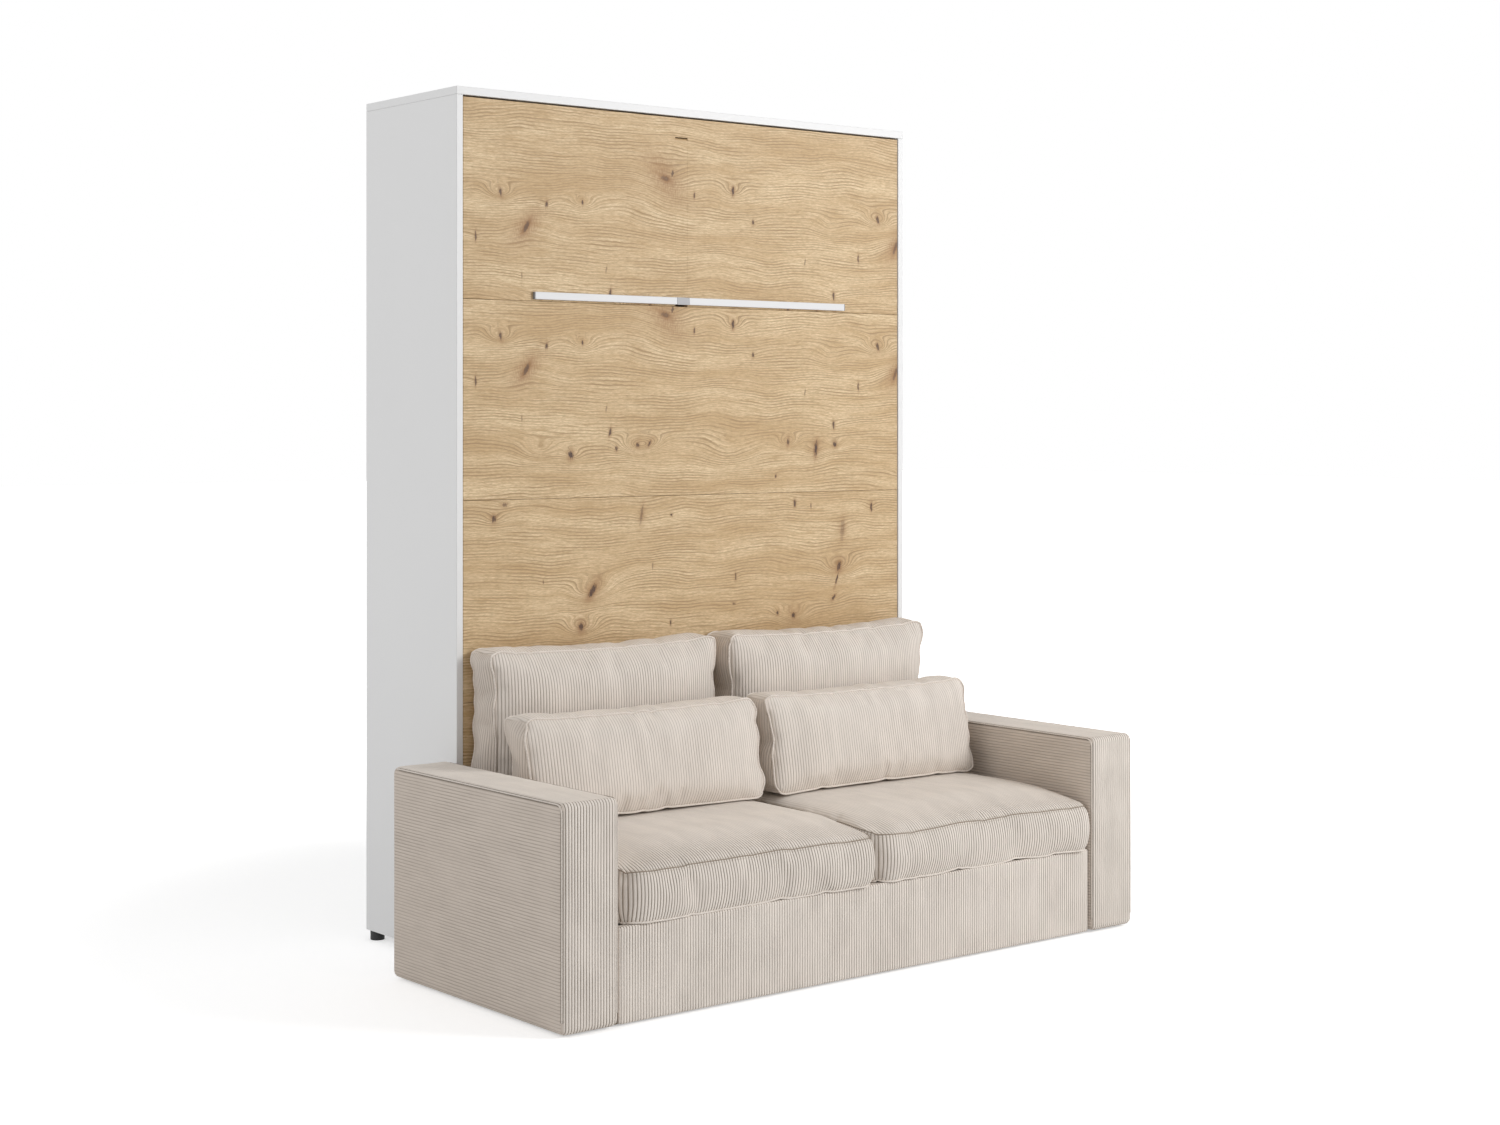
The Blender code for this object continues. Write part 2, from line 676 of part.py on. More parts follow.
def build_frame():
    """The welded steel frame behind the boards."""
    made = []
    for label, side in SIDES:
        span = mirror_span((RAIL_INNER, RAIL_FACE, RAIL_BOTTOM),
                           (RAIL_SIDE_REACH, RAIL_REAR, RAIL_TOP), side)
        made.append(tube("frame_rail_" + label, *span, 2, PAINTED))
    reach = RAIL_INNER - GAP
    made.append(tube("frame_rail_head", (-reach, RAIL_FACE, RAIL_BOTTOM),
                     (reach, RAIL_REAR, RAIL_BOTTOM + RAIL_WIDTH), 0, PAINTED))
    made.append(tube("frame_rail_foot", (-reach, RAIL_FACE, RAIL_TOP - RAIL_WIDTH),
                     (reach, RAIL_REAR, RAIL_TOP), 0, PAINTED))
    beam_rear = SLAT_FACE - GAP
    made.append(tube("centre_beam",
                     (-BEAM_WIDTH / 2, beam_rear - BEAM_DEPTH, RAIL_BOTTOM + RAIL_WIDTH + GAP),
                     (BEAM_WIDTH / 2, beam_rear, RAIL_TOP - RAIL_WIDTH - GAP), 2, PAINTED))
    return made


def build_slats():
    """Sprung slats, evenly spread along the frame and stapled to three ribbons."""
    reach = RAIL_SIDE_REACH - SLAT_END_INSET
    half = SLAT_WIDTH / 2
    first = RAIL_BOTTOM + SLAT_FIRST_INSET
    last = RAIL_TOP - SLAT_FIRST_INSET
    heights = [first + (last - first) * i / (SLAT_COUNT - 1) for i in range(SLAT_COUNT)]
    slats = boxes("slatted_base", [((-reach, SLAT_FACE, z - half), (reach, SLAT_REAR, z + half))
                                   for z in heights], BIRCH)
    half = RIBBON_WIDTH / 2
    ribbons = boxes("slat_ribbons", [((x - half, SLAT_REAR - RIBBON_SINK, first),
                                      (x + half, SLAT_REAR + RIBBON_RISE, last))
                                     for x in (-RIBBON_PLACE, 0, RIBBON_PLACE)], BIRCH)
    return [join(slats, ribbons)]


def build_hubs():
    """On each side of the frame, a plate with the pivot boss and the strut's stud."""
    inner = RAIL_SIDE_REACH + GAP
    outer = inner + HUB_THICKNESS
    boss_end = INNER_X - GAP - PIVOT_PLATE_THICKNESS - PIVOT_PLATE_GAP
    low_z = STRUT_STUD.z - HUB_STUD_MARGIN
    high_z = PIVOT_Z + HUB_RISE
    made = []
    for label, side in SIDES:
        span = mirror_span((inner, RAIL_FACE + GAP, low_z),
                           (outer, MATTRESS_FACE - GAP, high_z), side)
        hub = box("bed_hub_" + label, *span, STEEL)
        boss = rod("hub_boss_" + label, (side * (inner + GAP), PIVOT_Y, PIVOT_Z),
                   (side * boss_end, PIVOT_Y, PIVOT_Z), PIVOT_BOSS_RADIUS, STEEL)
        stud = rod("hub_stud_" + label, (side * (inner + GAP), STRUT_STUD.y, STRUT_STUD.z),
                   (side * (STRUT_INNER - GAP), STRUT_STUD.y, STRUT_STUD.z),
                   STRUT_STUD_RADIUS, STEEL, SMALL_SIDES)
        bore = rod("hub_bore_" + label, (side * (inner - CUT_OVERRUN), PIVOT_Y, PIVOT_Z),
                   (side * (boss_end + CUT_OVERRUN), PIVOT_Y, PIVOT_Z),
                   PIVOT_PIN_RADIUS + PIVOT_RUNNING_GAP, STEEL)
        made.append(cut(join(join(hub, boss), stud), bore))
    return made


def build_mattress():
    """The mattress, the angle it stands on and the straps that hold it."""
    made = [box("mattress", (-MATTRESS_HALF, MATTRESS_FACE, MATTRESS_BOTTOM),
                (MATTRESS_HALF, MATTRESS_REAR, MATTRESS_TOP), QUILT, MATTRESS_EDGE, 2)]
    top = MATTRESS_BOTTOM - GAP
    low = top - STOP_THICKNESS
    face = RAIL_REAR + GAP
    points = [(face, low), (face + STOP_LEG, low), (face + STOP_LEG, top),
              (face + STOP_THICKNESS, top), (face + STOP_THICKNESS, low + STOP_FLANGE),
              (face, low + STOP_FLANGE)]
    made.append(outline("mattress_stop", points, -STOP_WIDTH / 2, STOP_WIDTH / 2, PAINTED))
    for name, share in (("lower", LOWER_STRAP_SHARE), ("upper", UPPER_STRAP_SHARE)):
        height = MATTRESS_BOTTOM + (MATTRESS_TOP - MATTRESS_BOTTOM) * share
        made.append(build_strap(name + "_mattress_strap", height))
    return made


def build_strap(name, height):
    """An elastic strap over the mattress, with its ends beside the side rails."""
    inner = MATTRESS_HALF + GAP
    outer = inner + STRAP_THICKNESS
    rear = MATTRESS_REAR + GAP
    start = RAIL_REAR - RAIL_WIDTH / 2
    low = height - STRAP_WIDTH / 2
    high = height + STRAP_WIDTH / 2
    strap = box(name, (-outer, start, low), (outer, rear + STRAP_THICKNESS, high), WEB)
    hollow = box(name + "_hollow", (-inner, start - CUT_OVERRUN, low - CUT_OVERRUN),
                 (inner, rear, high + CUT_OVERRUN), WEB)
    return cut(strap, hollow)


def build_leg_hinge():
    """Two bearing blocks in the top board, joined by the leg's pin."""
    near = POST_WIDTH / 2 + SLOT_GAP + GAP
    far = near + LEG_BLOCK_LENGTH
    face = FRONT_FACE + LEG_BLOCK_FRONT_SKIN + GAP
    low_z = LEG_HINGE_Z - LEG_BLOCK_HALF_HEIGHT
    high_z = LEG_HINGE_Z + LEG_BLOCK_HALF_HEIGHT
    spans = [((POST_PLACE - far, face, low_z), (POST_PLACE - near, FRONT_REAR, high_z)),
             ((POST_PLACE + near, face, low_z), (POST_PLACE + far, FRONT_REAR, high_z))]
    blocks = boxes("leg_hinge", spans, STEEL)
    pin = rod("leg_pin", (POST_PLACE - near - LEG_BLOCK_LENGTH / 2, POST_MIDDLE_Y, LEG_HINGE_Z),
              (POST_PLACE + near + LEG_BLOCK_LENGTH / 2, POST_MIDDLE_Y, LEG_HINGE_Z),
              LEG_PIN_RADIUS, STEEL, SMALL_SIDES)
    return [join(blocks, pin)]


def build_leg():
    """The folding leg: a post in the top board and a long bar across its end."""
    half = POST_WIDTH / 2
    points = arc(POST_MIDDLE_Y, LEG_HINGE_Z, POST_ROUND, 0, 180, PIVOT_CORNER_SIDES)
    points += [(FRONT_FACE, BAR_BOTTOM), (FRONT_REAR, BAR_BOTTOM)]
    post = outline("leg_post", points, POST_PLACE - half, POST_PLACE + half, OAK)
    cut(post, rod("post_bore", (POST_PLACE - half - CUT_OVERRUN, POST_MIDDLE_Y, LEG_HINGE_Z),
                  (POST_PLACE + half + CUT_OVERRUN, POST_MIDDLE_Y, LEG_HINGE_Z),
                  LEG_PIN_RADIUS + LEG_PIN_GAP, STEEL, SMALL_SIDES))
    top = BAR_BOTTOM + BAR_HEIGHT
    end = BAR_LENGTH / 2
    made = [post, box("leg_block", (POST_PLACE - half, BAR_FRONT, BAR_BOTTOM),
                      (POST_PLACE + half, BAR_REAR, top), GREY)]
    ranges = {"left": (-end, POST_PLACE - half - GAP), "right": (POST_PLACE + half + GAP, end)}
    for label, side in SIDES:
        low_x, high_x = ranges[label]
        made.append(box("foot_bar_" + label, (low_x, BAR_FRONT, BAR_BOTTOM),
                        (high_x, BAR_REAR, top), BAR_WHITE, BAR_EDGE))
    return made


def along_strut(distance, x):
    """Find a place on a strut's axis, counted from its upper stud."""
    return STRUT_TOP + STRUT_ALONG * distance + ALONG_X * x


def build_struts():
    """The gas struts. The lower studs stop just short of the rods' eyes."""
    cylinders = {}
    plungers = {}
    rod_start = STRUT_BODY_LENGTH - STRUT_OVERLAP
    for label, side in SIDES:
        x = side * STRUT_MIDDLE
        wide = ALONG_X * (STRUT_THICKNESS / 2)
        through = ALONG_X * (STRUT_THICKNESS / 2 + CUT_OVERRUN)
        body = rod("strut_cylinder_" + label, along_strut(0, x), along_strut(STRUT_BODY_LENGTH, x),
                   STRUT_THICKNESS / 2 - GAP, BLACK)
        upper = along_strut(0, x)
        join(body, rod("cylinder_eye_" + label, upper - wide, upper + wide, STRUT_EYE_RADIUS, BLACK))
        cut(body, rod("cylinder_bore_" + label, along_strut(STRUT_BORE_START, x),
                      along_strut(STRUT_BODY_LENGTH + CUT_OVERRUN, x), STRUT_BORE_RADIUS, BLACK))
        cylinders[label] = cut(body, rod("cylinder_eye_bore_" + label, upper - through, upper + through,
                                         STRUT_STUD_RADIUS + STRUT_STUD_GAP, BLACK, SMALL_SIDES))
        plunger = rod("strut_rod_" + label, along_strut(rod_start, x), along_strut(STRUT_LENGTH, x),
                      STRUT_ROD_RADIUS, CHROME, SMALL_SIDES)
        join(plunger, rod("piston_" + label, along_strut(rod_start, x),
                          along_strut(rod_start + STRUT_PISTON_LENGTH, x),
                          STRUT_PISTON_RADIUS, CHROME, SMALL_SIDES))
        lower = along_strut(STRUT_LENGTH, x)
        join(plunger, rod("rod_eye_" + label, lower - wide, lower + wide, STRUT_EYE_RADIUS, CHROME))
        plungers[label] = cut(plunger, rod("rod_eye_bore_" + label, lower - through, lower + through,
                                           STRUT_STUD_RADIUS + STRUT_STUD_GAP, CHROME, SMALL_SIDES))
    return cylinders, plungers


def build_sofa():
    """Arms, base and seat, which stay where they are when the bed comes down."""
    rear = FRONT_Y + ARM_OVERLAP
    arm_middle = (SOFA_HALF + ARM_INNER) / 2
    plate_y = (BASE_FRONT_FACE + BASE_REAR) / 2
    for label, side in SIDES:
        span = mirror_span((ARM_INNER, ARM_FRONT, SKID_HEIGHT), (SOFA_HALF, rear, ARM_HEIGHT), side)
        box("arm_" + label, *span, CORD, ARM_EDGE, 3)
        span = mirror_span((arm_middle - SKID_WIDTH / 2, ARM_FRONT + SKID_END_INSET, 0),
                           (arm_middle + SKID_WIDTH / 2, rear - SKID_END_INSET, SKID_HEIGHT - GAP), side)
        box("arm_skid_" + label, *span, BLACK)
        span = mirror_span((BASE_HALF + GAP, plate_y - SOFA_PLATE_LENGTH / 2, SOFA_PLATE_LIFT),
                           (ARM_INNER - GAP, plate_y + SOFA_PLATE_LENGTH / 2,
                            SOFA_PLATE_LIFT + SOFA_PLATE_HEIGHT), side)
        box("sofa_plate_" + label, *span, STEEL)
        seat_cushion("seat_cushion_" + label, side, CORD)
    box("sofa_link", (-SOFA_PLATE_LENGTH / 2, BASE_REAR + GAP, SOFA_PLATE_LIFT),
        (SOFA_PLATE_LENGTH / 2, FRONT_Y - GAP, SOFA_PLATE_LIFT + SOFA_PLATE_HEIGHT), STEEL)
    build_base()


def build_base():
    """The upholstered front, the frame of boards behind it and the deck on top."""
    box("base_front", (-BASE_HALF, BASE_FRONT_FACE, SKID_HEIGHT),
        (BASE_HALF, BASE_FRONT_REAR, DECK_TOP), CORD, BASE_FRONT_EDGE, 2)
    start = BASE_FRONT_REAR + GAP
    frame = box("base_frame", (-BASE_HALF, start, 0), (BASE_HALF, BASE_REAR, BASE_FRAME_HEIGHT), PINE)
    bays = [mirror_span((BASE_BOARD / 2, start + BASE_BOARD, -CUT_OVERRUN),
                        (BASE_HALF - BASE_BOARD, BASE_REAR - BASE_BOARD,
                         BASE_FRAME_HEIGHT + CUT_OVERRUN), side) for label, side in SIDES]
    cut(frame, boxes("base_bays", bays, PINE))
    box("seat_deck", (-BASE_HALF, start, DECK_BOTTOM), (BASE_HALF, BASE_REAR, DECK_TOP), PINE)


def build_loose_cushions():
    """The back and lumbar cushions, which come off before the bed comes down."""
    made = []
    for label, side in SIDES:
        made.append(upright_cushion("back_cushion_" + label, side, CORD, BACK_WIDTH, BACK_HEIGHT,
                                    BACK_BOXING, BACK_FRONT_CROWN, BACK_REAR_CROWN,
                                    BACK_MIDDLE_GAP, BACK_BULGE, BACK_DRAW, BACK_REAR_SEAM, 0))
        made.append(upright_cushion("lumbar_cushion_" + label, side, CORD, LUMBAR_WIDTH,
                                    LUMBAR_HEIGHT, LUMBAR_BOXING, LUMBAR_FRONT_CROWN,
                                    LUMBAR_REAR_CROWN, LUMBAR_MIDDLE_GAP, LUMBAR_BULGE,
                                    LUMBAR_DRAW, LUMBAR_TOP_REAR, LUMBAR_LEAN))
    return made


clear_scene()
PARTS = new_collection("wall_bed")
CUTTERS = new_collection("cutters")

WHITE = finish("white laminate", (0.82, 0.82, 0.82), 0.45)
OAK = finish("oak decor", (0.61, 0.43, 0.25), 0.55)
CORD = finish("beige corduroy", (0.64, 0.57, 0.48), 0.90)
BAR_WHITE = finish("white bar", (0.80, 0.80, 0.79), 0.35)
GREY = finish("grey plastic", (0.42, 0.42, 0.43), 0.50)
BLACK = finish("black plastic", (0.03, 0.03, 0.03), 0.50)
STEEL = finish("zinc-plated steel", (0.55, 0.56, 0.57), 0.35, 1.0)
PAINTED = finish("painted steel frame", (0.30, 0.31, 0.32), 0.50, 0.3)
CHROME = finish("polished rod", (0.80, 0.80, 0.81), 0.15, 1.0)
BIRCH = finish("birch slat", (0.72, 0.56, 0.36), 0.50)
PINE = finish("pine board", (0.66, 0.50, 0.32), 0.60)
QUILT = finish("mattress cover", (0.80, 0.79, 0.76), 0.85)
WEB = finish("elastic strap", (0.10, 0.10, 0.11), 0.80)

build_cabinet()
build_pivots()
build_strut_anchors()
build_sofa()

bed = build_front() + build_frame() + build_slats() + build_hubs() + build_mattress()
bed += build_leg_hinge()
bed_axis = joint_axis("bed_fold_axis", (0, PIVOT_Y, PIVOT_Z))
carry(bed, bed_axis)

leg_axis = joint_axis("leg_fold_axis", (POST_PLACE, POST_MIDDLE_Y, LEG_HINGE_Z))
carry(build_leg(), leg_axis)
carry([leg_axis], bed_axis)

strut_bodies, strut_rods = build_struts()
for name, direction in SIDES:
    pin_axis = joint_axis("strut_axis_" + name, along_strut(0, direction * STRUT_MIDDLE))
    carry([strut_bodies[name], strut_rods[name]], pin_axis)

cushion_axis = joint_axis("cushion_path_axis", (0, CUSHION_AXIS_Y, CUSHION_AXIS_Z))
carry(build_loose_cushions(), cushion_axis)
bpy.context.view_layer.update()
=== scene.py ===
"""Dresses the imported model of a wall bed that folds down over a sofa."""

import math

import bmesh
import bpy
from bpy.props import FloatProperty, FloatVectorProperty, IntProperty, PointerProperty
from mathutils import Matrix, Vector, noise
from mathutils.bvhtree import BVHTree


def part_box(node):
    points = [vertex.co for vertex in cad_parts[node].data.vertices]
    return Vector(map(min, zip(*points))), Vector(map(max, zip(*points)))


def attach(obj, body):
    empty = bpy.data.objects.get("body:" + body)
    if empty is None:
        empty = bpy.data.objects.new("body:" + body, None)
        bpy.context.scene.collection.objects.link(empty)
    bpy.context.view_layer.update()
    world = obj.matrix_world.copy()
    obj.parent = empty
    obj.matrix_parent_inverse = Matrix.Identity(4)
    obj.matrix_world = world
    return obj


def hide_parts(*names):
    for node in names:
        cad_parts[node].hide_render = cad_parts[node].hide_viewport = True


bl_info = {
    "name": "Wall Bed with Sofa",
    "version": (1, 0, 0),
    "blender": (4, 5, 0),
    "location": "3D View > Sidebar > Wall Bed",
    "description": "Dresses the packed model of a wall bed that folds down over a sofa",
    "category": "Object",
}

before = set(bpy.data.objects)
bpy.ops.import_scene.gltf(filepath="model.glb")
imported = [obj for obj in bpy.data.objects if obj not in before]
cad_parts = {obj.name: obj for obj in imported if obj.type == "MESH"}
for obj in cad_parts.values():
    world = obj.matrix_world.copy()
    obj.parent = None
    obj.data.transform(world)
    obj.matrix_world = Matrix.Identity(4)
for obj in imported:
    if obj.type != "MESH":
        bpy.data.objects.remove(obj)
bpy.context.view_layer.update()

SIDES = (("left", -1), ("right", 1))
ORIGIN = (0.0, 0.0, 0.0)

# Points nearer than WELD count as one. A cushion keeps CLEAR off what it lies on or under.
WELD = 0.0001
CLEAR = 0.0006

# The camera, solved from the photograph's vanishing points, in its pixels and in metres.
PHOTO_WIDTH = 1500
FOCAL_PIXELS = 2357.32
HORIZON_RISE = 144.62
SENSOR_WIDTH = 36.0
CAMERA_PLACE = (-3.8453, -4.8326, 1.3588)
CAMERA_TURN = -39.043

FLOOR_SIZE = 40
SLATS = 14
PLATE = 0.004
BRACKET = 0.003
EDGE_BAND = 0.0011

# The rings of cells that make a block's rounded edges, and the height of a seat's boxing.
MATTRESS_RING = 4
ARM_RING = 3
BASE_RING = 2
SEAT_BOXING = 0.115

# What a cushion keeps inside its box at each end, across and deep or high, before the stuffing.
SEAT_MARGIN = (0.0015, 0.002)
UPRIGHT_MARGIN = (0.002, 0.003)
SEAM_CREASE = 0.35
SEAM_HOLD = 0.5

# The gap between stitches is a share of their length, and the thread lies above the cloth.
STITCH_GAP = 0.35
THREAD_LIFT = 0.0002

CLOTH_SHADER = {"Sheen_Weight": 0.25, "Sheen_Roughness": 0.5,
                "Sheen_Tint": (0.95, 0.90, 0.82, 1.0), "Specular_IOR_Level": 0.2}

# From one board to the next the decor comes again MOTIF_STEP lower. GRAIN_STEP is one grain line.
MOTIF_STEP = 0.36
GRAIN_STEP = 0.0078
KNOT_LEAST = 0.001

# Knots: x, z, half width, half height, lean, swell in grain lines, its reach, darkness, stain.
UPPER_KNOTS = (
    (-0.618, 1.924, 0.005, 0.011, -0.2, 5.0, 0.040, 0.85, 0.2),
    (-0.540, 1.842, 0.007, 0.016, 0.6, -3.2, 0.070, 0.75, 1.0),
    (-0.479, 1.901, 0.004, 0.009, 0.0, 1.6, 0.024, 0.9, 0.1),
    (-0.368, 1.912, 0.003, 0.007, 0.0, 3.4, 0.034, 0.9, 0.1),
    (-0.691, 1.811, 0.003, 0.012, 0.0, 0.8, 0.022, 0.8, 0.2),
    (-0.210, 1.945, 0.0, 0.0, 0.0, -2.4, 0.100, 0.0, 0.1),
    (-0.102, 1.990, 0.013, 0.008, -0.6, 3.4, 0.095, 0.6, 1.0),
    (-0.079, 2.006, 0.004, 0.009, 0.2, 0.4, 0.020, 0.8, 0.2),
    (-0.006, 1.951, 0.003, 0.009, 0.0, 0.8, 0.022, 0.8, 0.2),
    (0.126, 1.972, 0.005, 0.011, 0.0, 3.0, 0.034, 1.0, 0.3),
    (0.196, 1.889, 0.004, 0.007, 0.0, 0.8, 0.018, 0.9, 0.1),
    (0.470, 1.885, 0.0, 0.0, 0.0, 2.6, 0.060, 0.0, 0.0),
    (0.652, 1.921, 0.005, 0.011, -0.2, 5.0, 0.040, 0.85, 0.2),
    (0.719, 1.844, 0.006, 0.018, 0.4, -3.0, 0.065, 0.6, 1.0),
    (0.578, 1.807, 0.003, 0.012, 0.0, 0.8, 0.022, 0.8, 0.1),
    (0.381, 1.788, 0.002, 0.009, 0.1, 0.3, 0.014, 0.5, 0.0),
    (-0.554, 1.716, 0.002, 0.008, 0.0, 0.3, 0.014, 0.5, 0.0),
    (-0.293, 1.744, 0.002, 0.009, 0.2, 0.3, 0.014, 0.5, 0.0),
)
SHARED_KNOTS = (
    (-0.405, 1.624, 0.008, 0.010, 0.0, 2.6, 0.030, 1.0, 0.3),
    (-0.500, 1.634, 0.0, 0.0, 0.0, 4.6, 0.060, 0.0, 0.1),
    (-0.281, 1.682, 0.004, 0.012, 0.2, 0.8, 0.020, 0.9, 0.3),
    (-0.261, 1.639, 0.004, 0.006, 0.0, 0.7, 0.018, 0.8, 0.2),
    (-0.193, 1.648, 0.005, 0.006, 0.0, 7.0, 0.046, 0.8, 0.3),
    (-0.154, 1.652, 0.004, 0.008, 0.5, 4.2, 0.040, 0.85, 0.3),
    (0.110, 1.620, 0.0, 0.0, 0.0, 5.6, 0.105, 0.0, 0.0),
    (0.320, 1.653, 0.004, 0.011, 0.1, 5.0, 0.036, 0.85, 0.3),
    (0.421, 1.632, 0.006, 0.021, 0.12, 3.4, 0.045, 1.0, 0.5),
    (0.486, 1.699, 0.004, 0.011, -0.1, 1.4, 0.028, 0.9, 0.2),
    (0.490, 1.645, 0.007, 0.007, 0.0, 3.0, 0.034, 0.95, 0.3),
    (0.276, 1.560, 0.003, 0.005, 0.0, 0.6, 0.016, 0.8, 0.1),
)
LOWER_KNOTS = (
    (-0.638, 1.107, 0.006, 0.010, 0.0, 2.0, 0.030, 0.9, 0.3),
    (-0.606, 1.141, 0.009, 0.005, 0.0, 1.0, 0.022, 0.6, 0.3),
    (-0.180, 1.105, 0.005, 0.024, 0.15, 0.6, 0.024, 0.45, 0.5),
    (-0.083, 1.103, 0.004, 0.004, 0.0, 0.4, 0.014, 0.9, 0.0),
    (0.344, 1.124, 0.004, 0.010, 0.0, 1.0, 0.024, 0.9, 0.2),
    (0.403, 1.115, 0.002, 0.008, 0.0, 0.3, 0.014, 0.7, 0.0),
    (0.627, 1.107, 0.004, 0.013, 0.0, 1.4, 0.028, 0.95, 0.3),
    (0.519, 1.048, 0.008, 0.030, 0.1, 1.8, 0.040, 0.35, 0.6),
    (-0.489, 0.942, 0.002, 0.005, 0.0, 0.3, 0.014, 0.5, 0.0),
    (-0.337, 0.914, 0.009, 0.017, 0.5, 7.0, 0.062, 0.95, 0.7),
    (-0.373, 0.823, 0.008, 0.010, 0.0, 6.0, 0.050, 0.9, 0.6),
    (-0.144, 0.971, 0.002, 0.011, 0.0, 0.3, 0.012, 0.4, 0.1),
    (-0.085, 0.818, 0.003, 0.007, 0.0, 0.6, 0.014, 0.9, 0.1),
    (0.135, 0.931, 0.003, 0.010, 0.0, 0.6, 0.018, 0.7, 0.2),
    (0.129, 0.857, 0.005, 0.003, -0.3, 0.5, 0.014, 0.6, 0.1),
    (0.282, 0.825, 0.004, 0.005, 0.0, 1.4, 0.026, 0.9, 0.2),
    (0.339, 0.815, 0.006, 0.007, 0.0, 5.2, 0.055, 0.9, 0.5),
    (0.506, 0.944, 0.007, 0.013, 0.2, 6.0, 0.055, 0.9, 0.6),
    (0.498, 0.908, 0.003, 0.021, 0.35, 0.6, 0.020, 0.95, 0.2),
    (0.486, 0.857, 0.005, 0.007, 0.6, 1.4, 0.026, 0.9, 0.3),
)

# For each board from the top, the height by which its decor is raised, and the knots near it.
BOARDS = (
    (0.0, UPPER_KNOTS + tuple(knot for knot in SHARED_KNOTS if knot[1] > 1.62)),
    (MOTIF_STEP, SHARED_KNOTS + tuple(knot for knot in UPPER_KNOTS if knot[1] < 2.02)),
    (0.0, LOWER_KNOTS),
    (MOTIF_STEP, tuple(knot for knot in LOWER_KNOTS if knot[1] < 1.05)),
)


def display(red, green, blue):
    """Turn a display colour from 0 to 255 into a linear one."""
    return tuple(c / 12.92 if c <= 0.04045 else ((c + 0.055) / 1.055) ** 2.4
                 for c in (red / 255, green / 255, blue / 255))


def colour_property(name, description, default):
    """Describe a colour that a user may change."""
    return FloatVectorProperty(name=name, description=description, default=default,
                               subtype="COLOR", size=3, min=0.0, max=1.0)


def length_property(name, description, default):
    """Describe a length that a user may change."""
    return FloatProperty(name=name, description=description, default=default, min=0.0,
                         unit="LENGTH", subtype="DISTANCE", precision=4)


class WallBedSizes(bpy.types.PropertyGroup):
    """The sizes that the pieces are made to."""

    rib_pitch: length_property("Rib pitch", "Distance from one corduroy rib to the next", 0.0078)
    rib_depth: length_property("Rib depth", "Depth of the grooves between the ribs", 0.0018)
    welt_radius: length_property("Welt radius", "Radius of the piped edges", 0.0026)
    stitch_length: length_property("Stitch length", "Length of one visible stitch", 0.0045)
    stitch_offset: length_property("Stitch offset", "Distance of a stitched line from its seam",
                                   0.0065)
    thread_radius: length_property("Thread radius", "Radius of the sewing thread", 0.00035)
    cell: length_property("Cloth cell", "Size of the cells that the stuffing moves", 0.0125)
    quilt_pitch: length_property("Quilting pitch",
                                 "Distance between the mattress's quilted lines", 0.120)
    pressure: FloatProperty(name="Stuffing pressure", description="Pressure inside the cushions",
                            default=4.0, min=0.0)
    steps: IntProperty(name="Stuffing steps", description="Steps that the stuffing is given",
                       default=20, min=2)


class WallBedColours(bpy.types.PropertyGroup):
    """The colours of the finishes."""

    laminate: colour_property("Laminate", "White laminated boards", display(233, 233, 233))
    oak_light: colour_property("Light oak", "Early wood of the oak decor", display(233, 210, 172))
    oak_dark: colour_property("Dark oak", "Late wood of the oak decor", display(180, 147, 103))
    oak_knot: colour_property("Knots", "Knots in the oak decor", display(60, 36, 27))
    corduroy: colour_property("Corduroy", "Ribs of the upholstery cloth", display(235, 226, 217))
    # The groove colour is the ground's own colour with the shade of the grooves painted into it.
    groove: colour_property("Corduroy groove", "Ground between the ribs", display(152, 138, 123))
    thread: colour_property("Thread", "Sewing thread", display(206, 195, 178))
    bar: colour_property("Bar", "White coated bar", display(223, 223, 224))
    grey: colour_property("Grey plastic", "Block in the middle of the bar", display(176, 176, 178))
    steel: colour_property("Steel", "Zinc-plated steel", display(190, 193, 197))
    painted: colour_property("Frame paint", "Coated bed frame", display(96, 98, 101))
    birch: colour_property("Birch", "Sprung slats", display(226, 202, 160))
    pine: colour_property("Pine", "Boards inside the sofa", display(216, 184, 138))
    cover: colour_property("Mattress cover", "Knitted mattress cover", display(232, 230, 225))
    backdrop: colour_property("Backdrop", "Floor under the furniture", display(240, 240, 240))


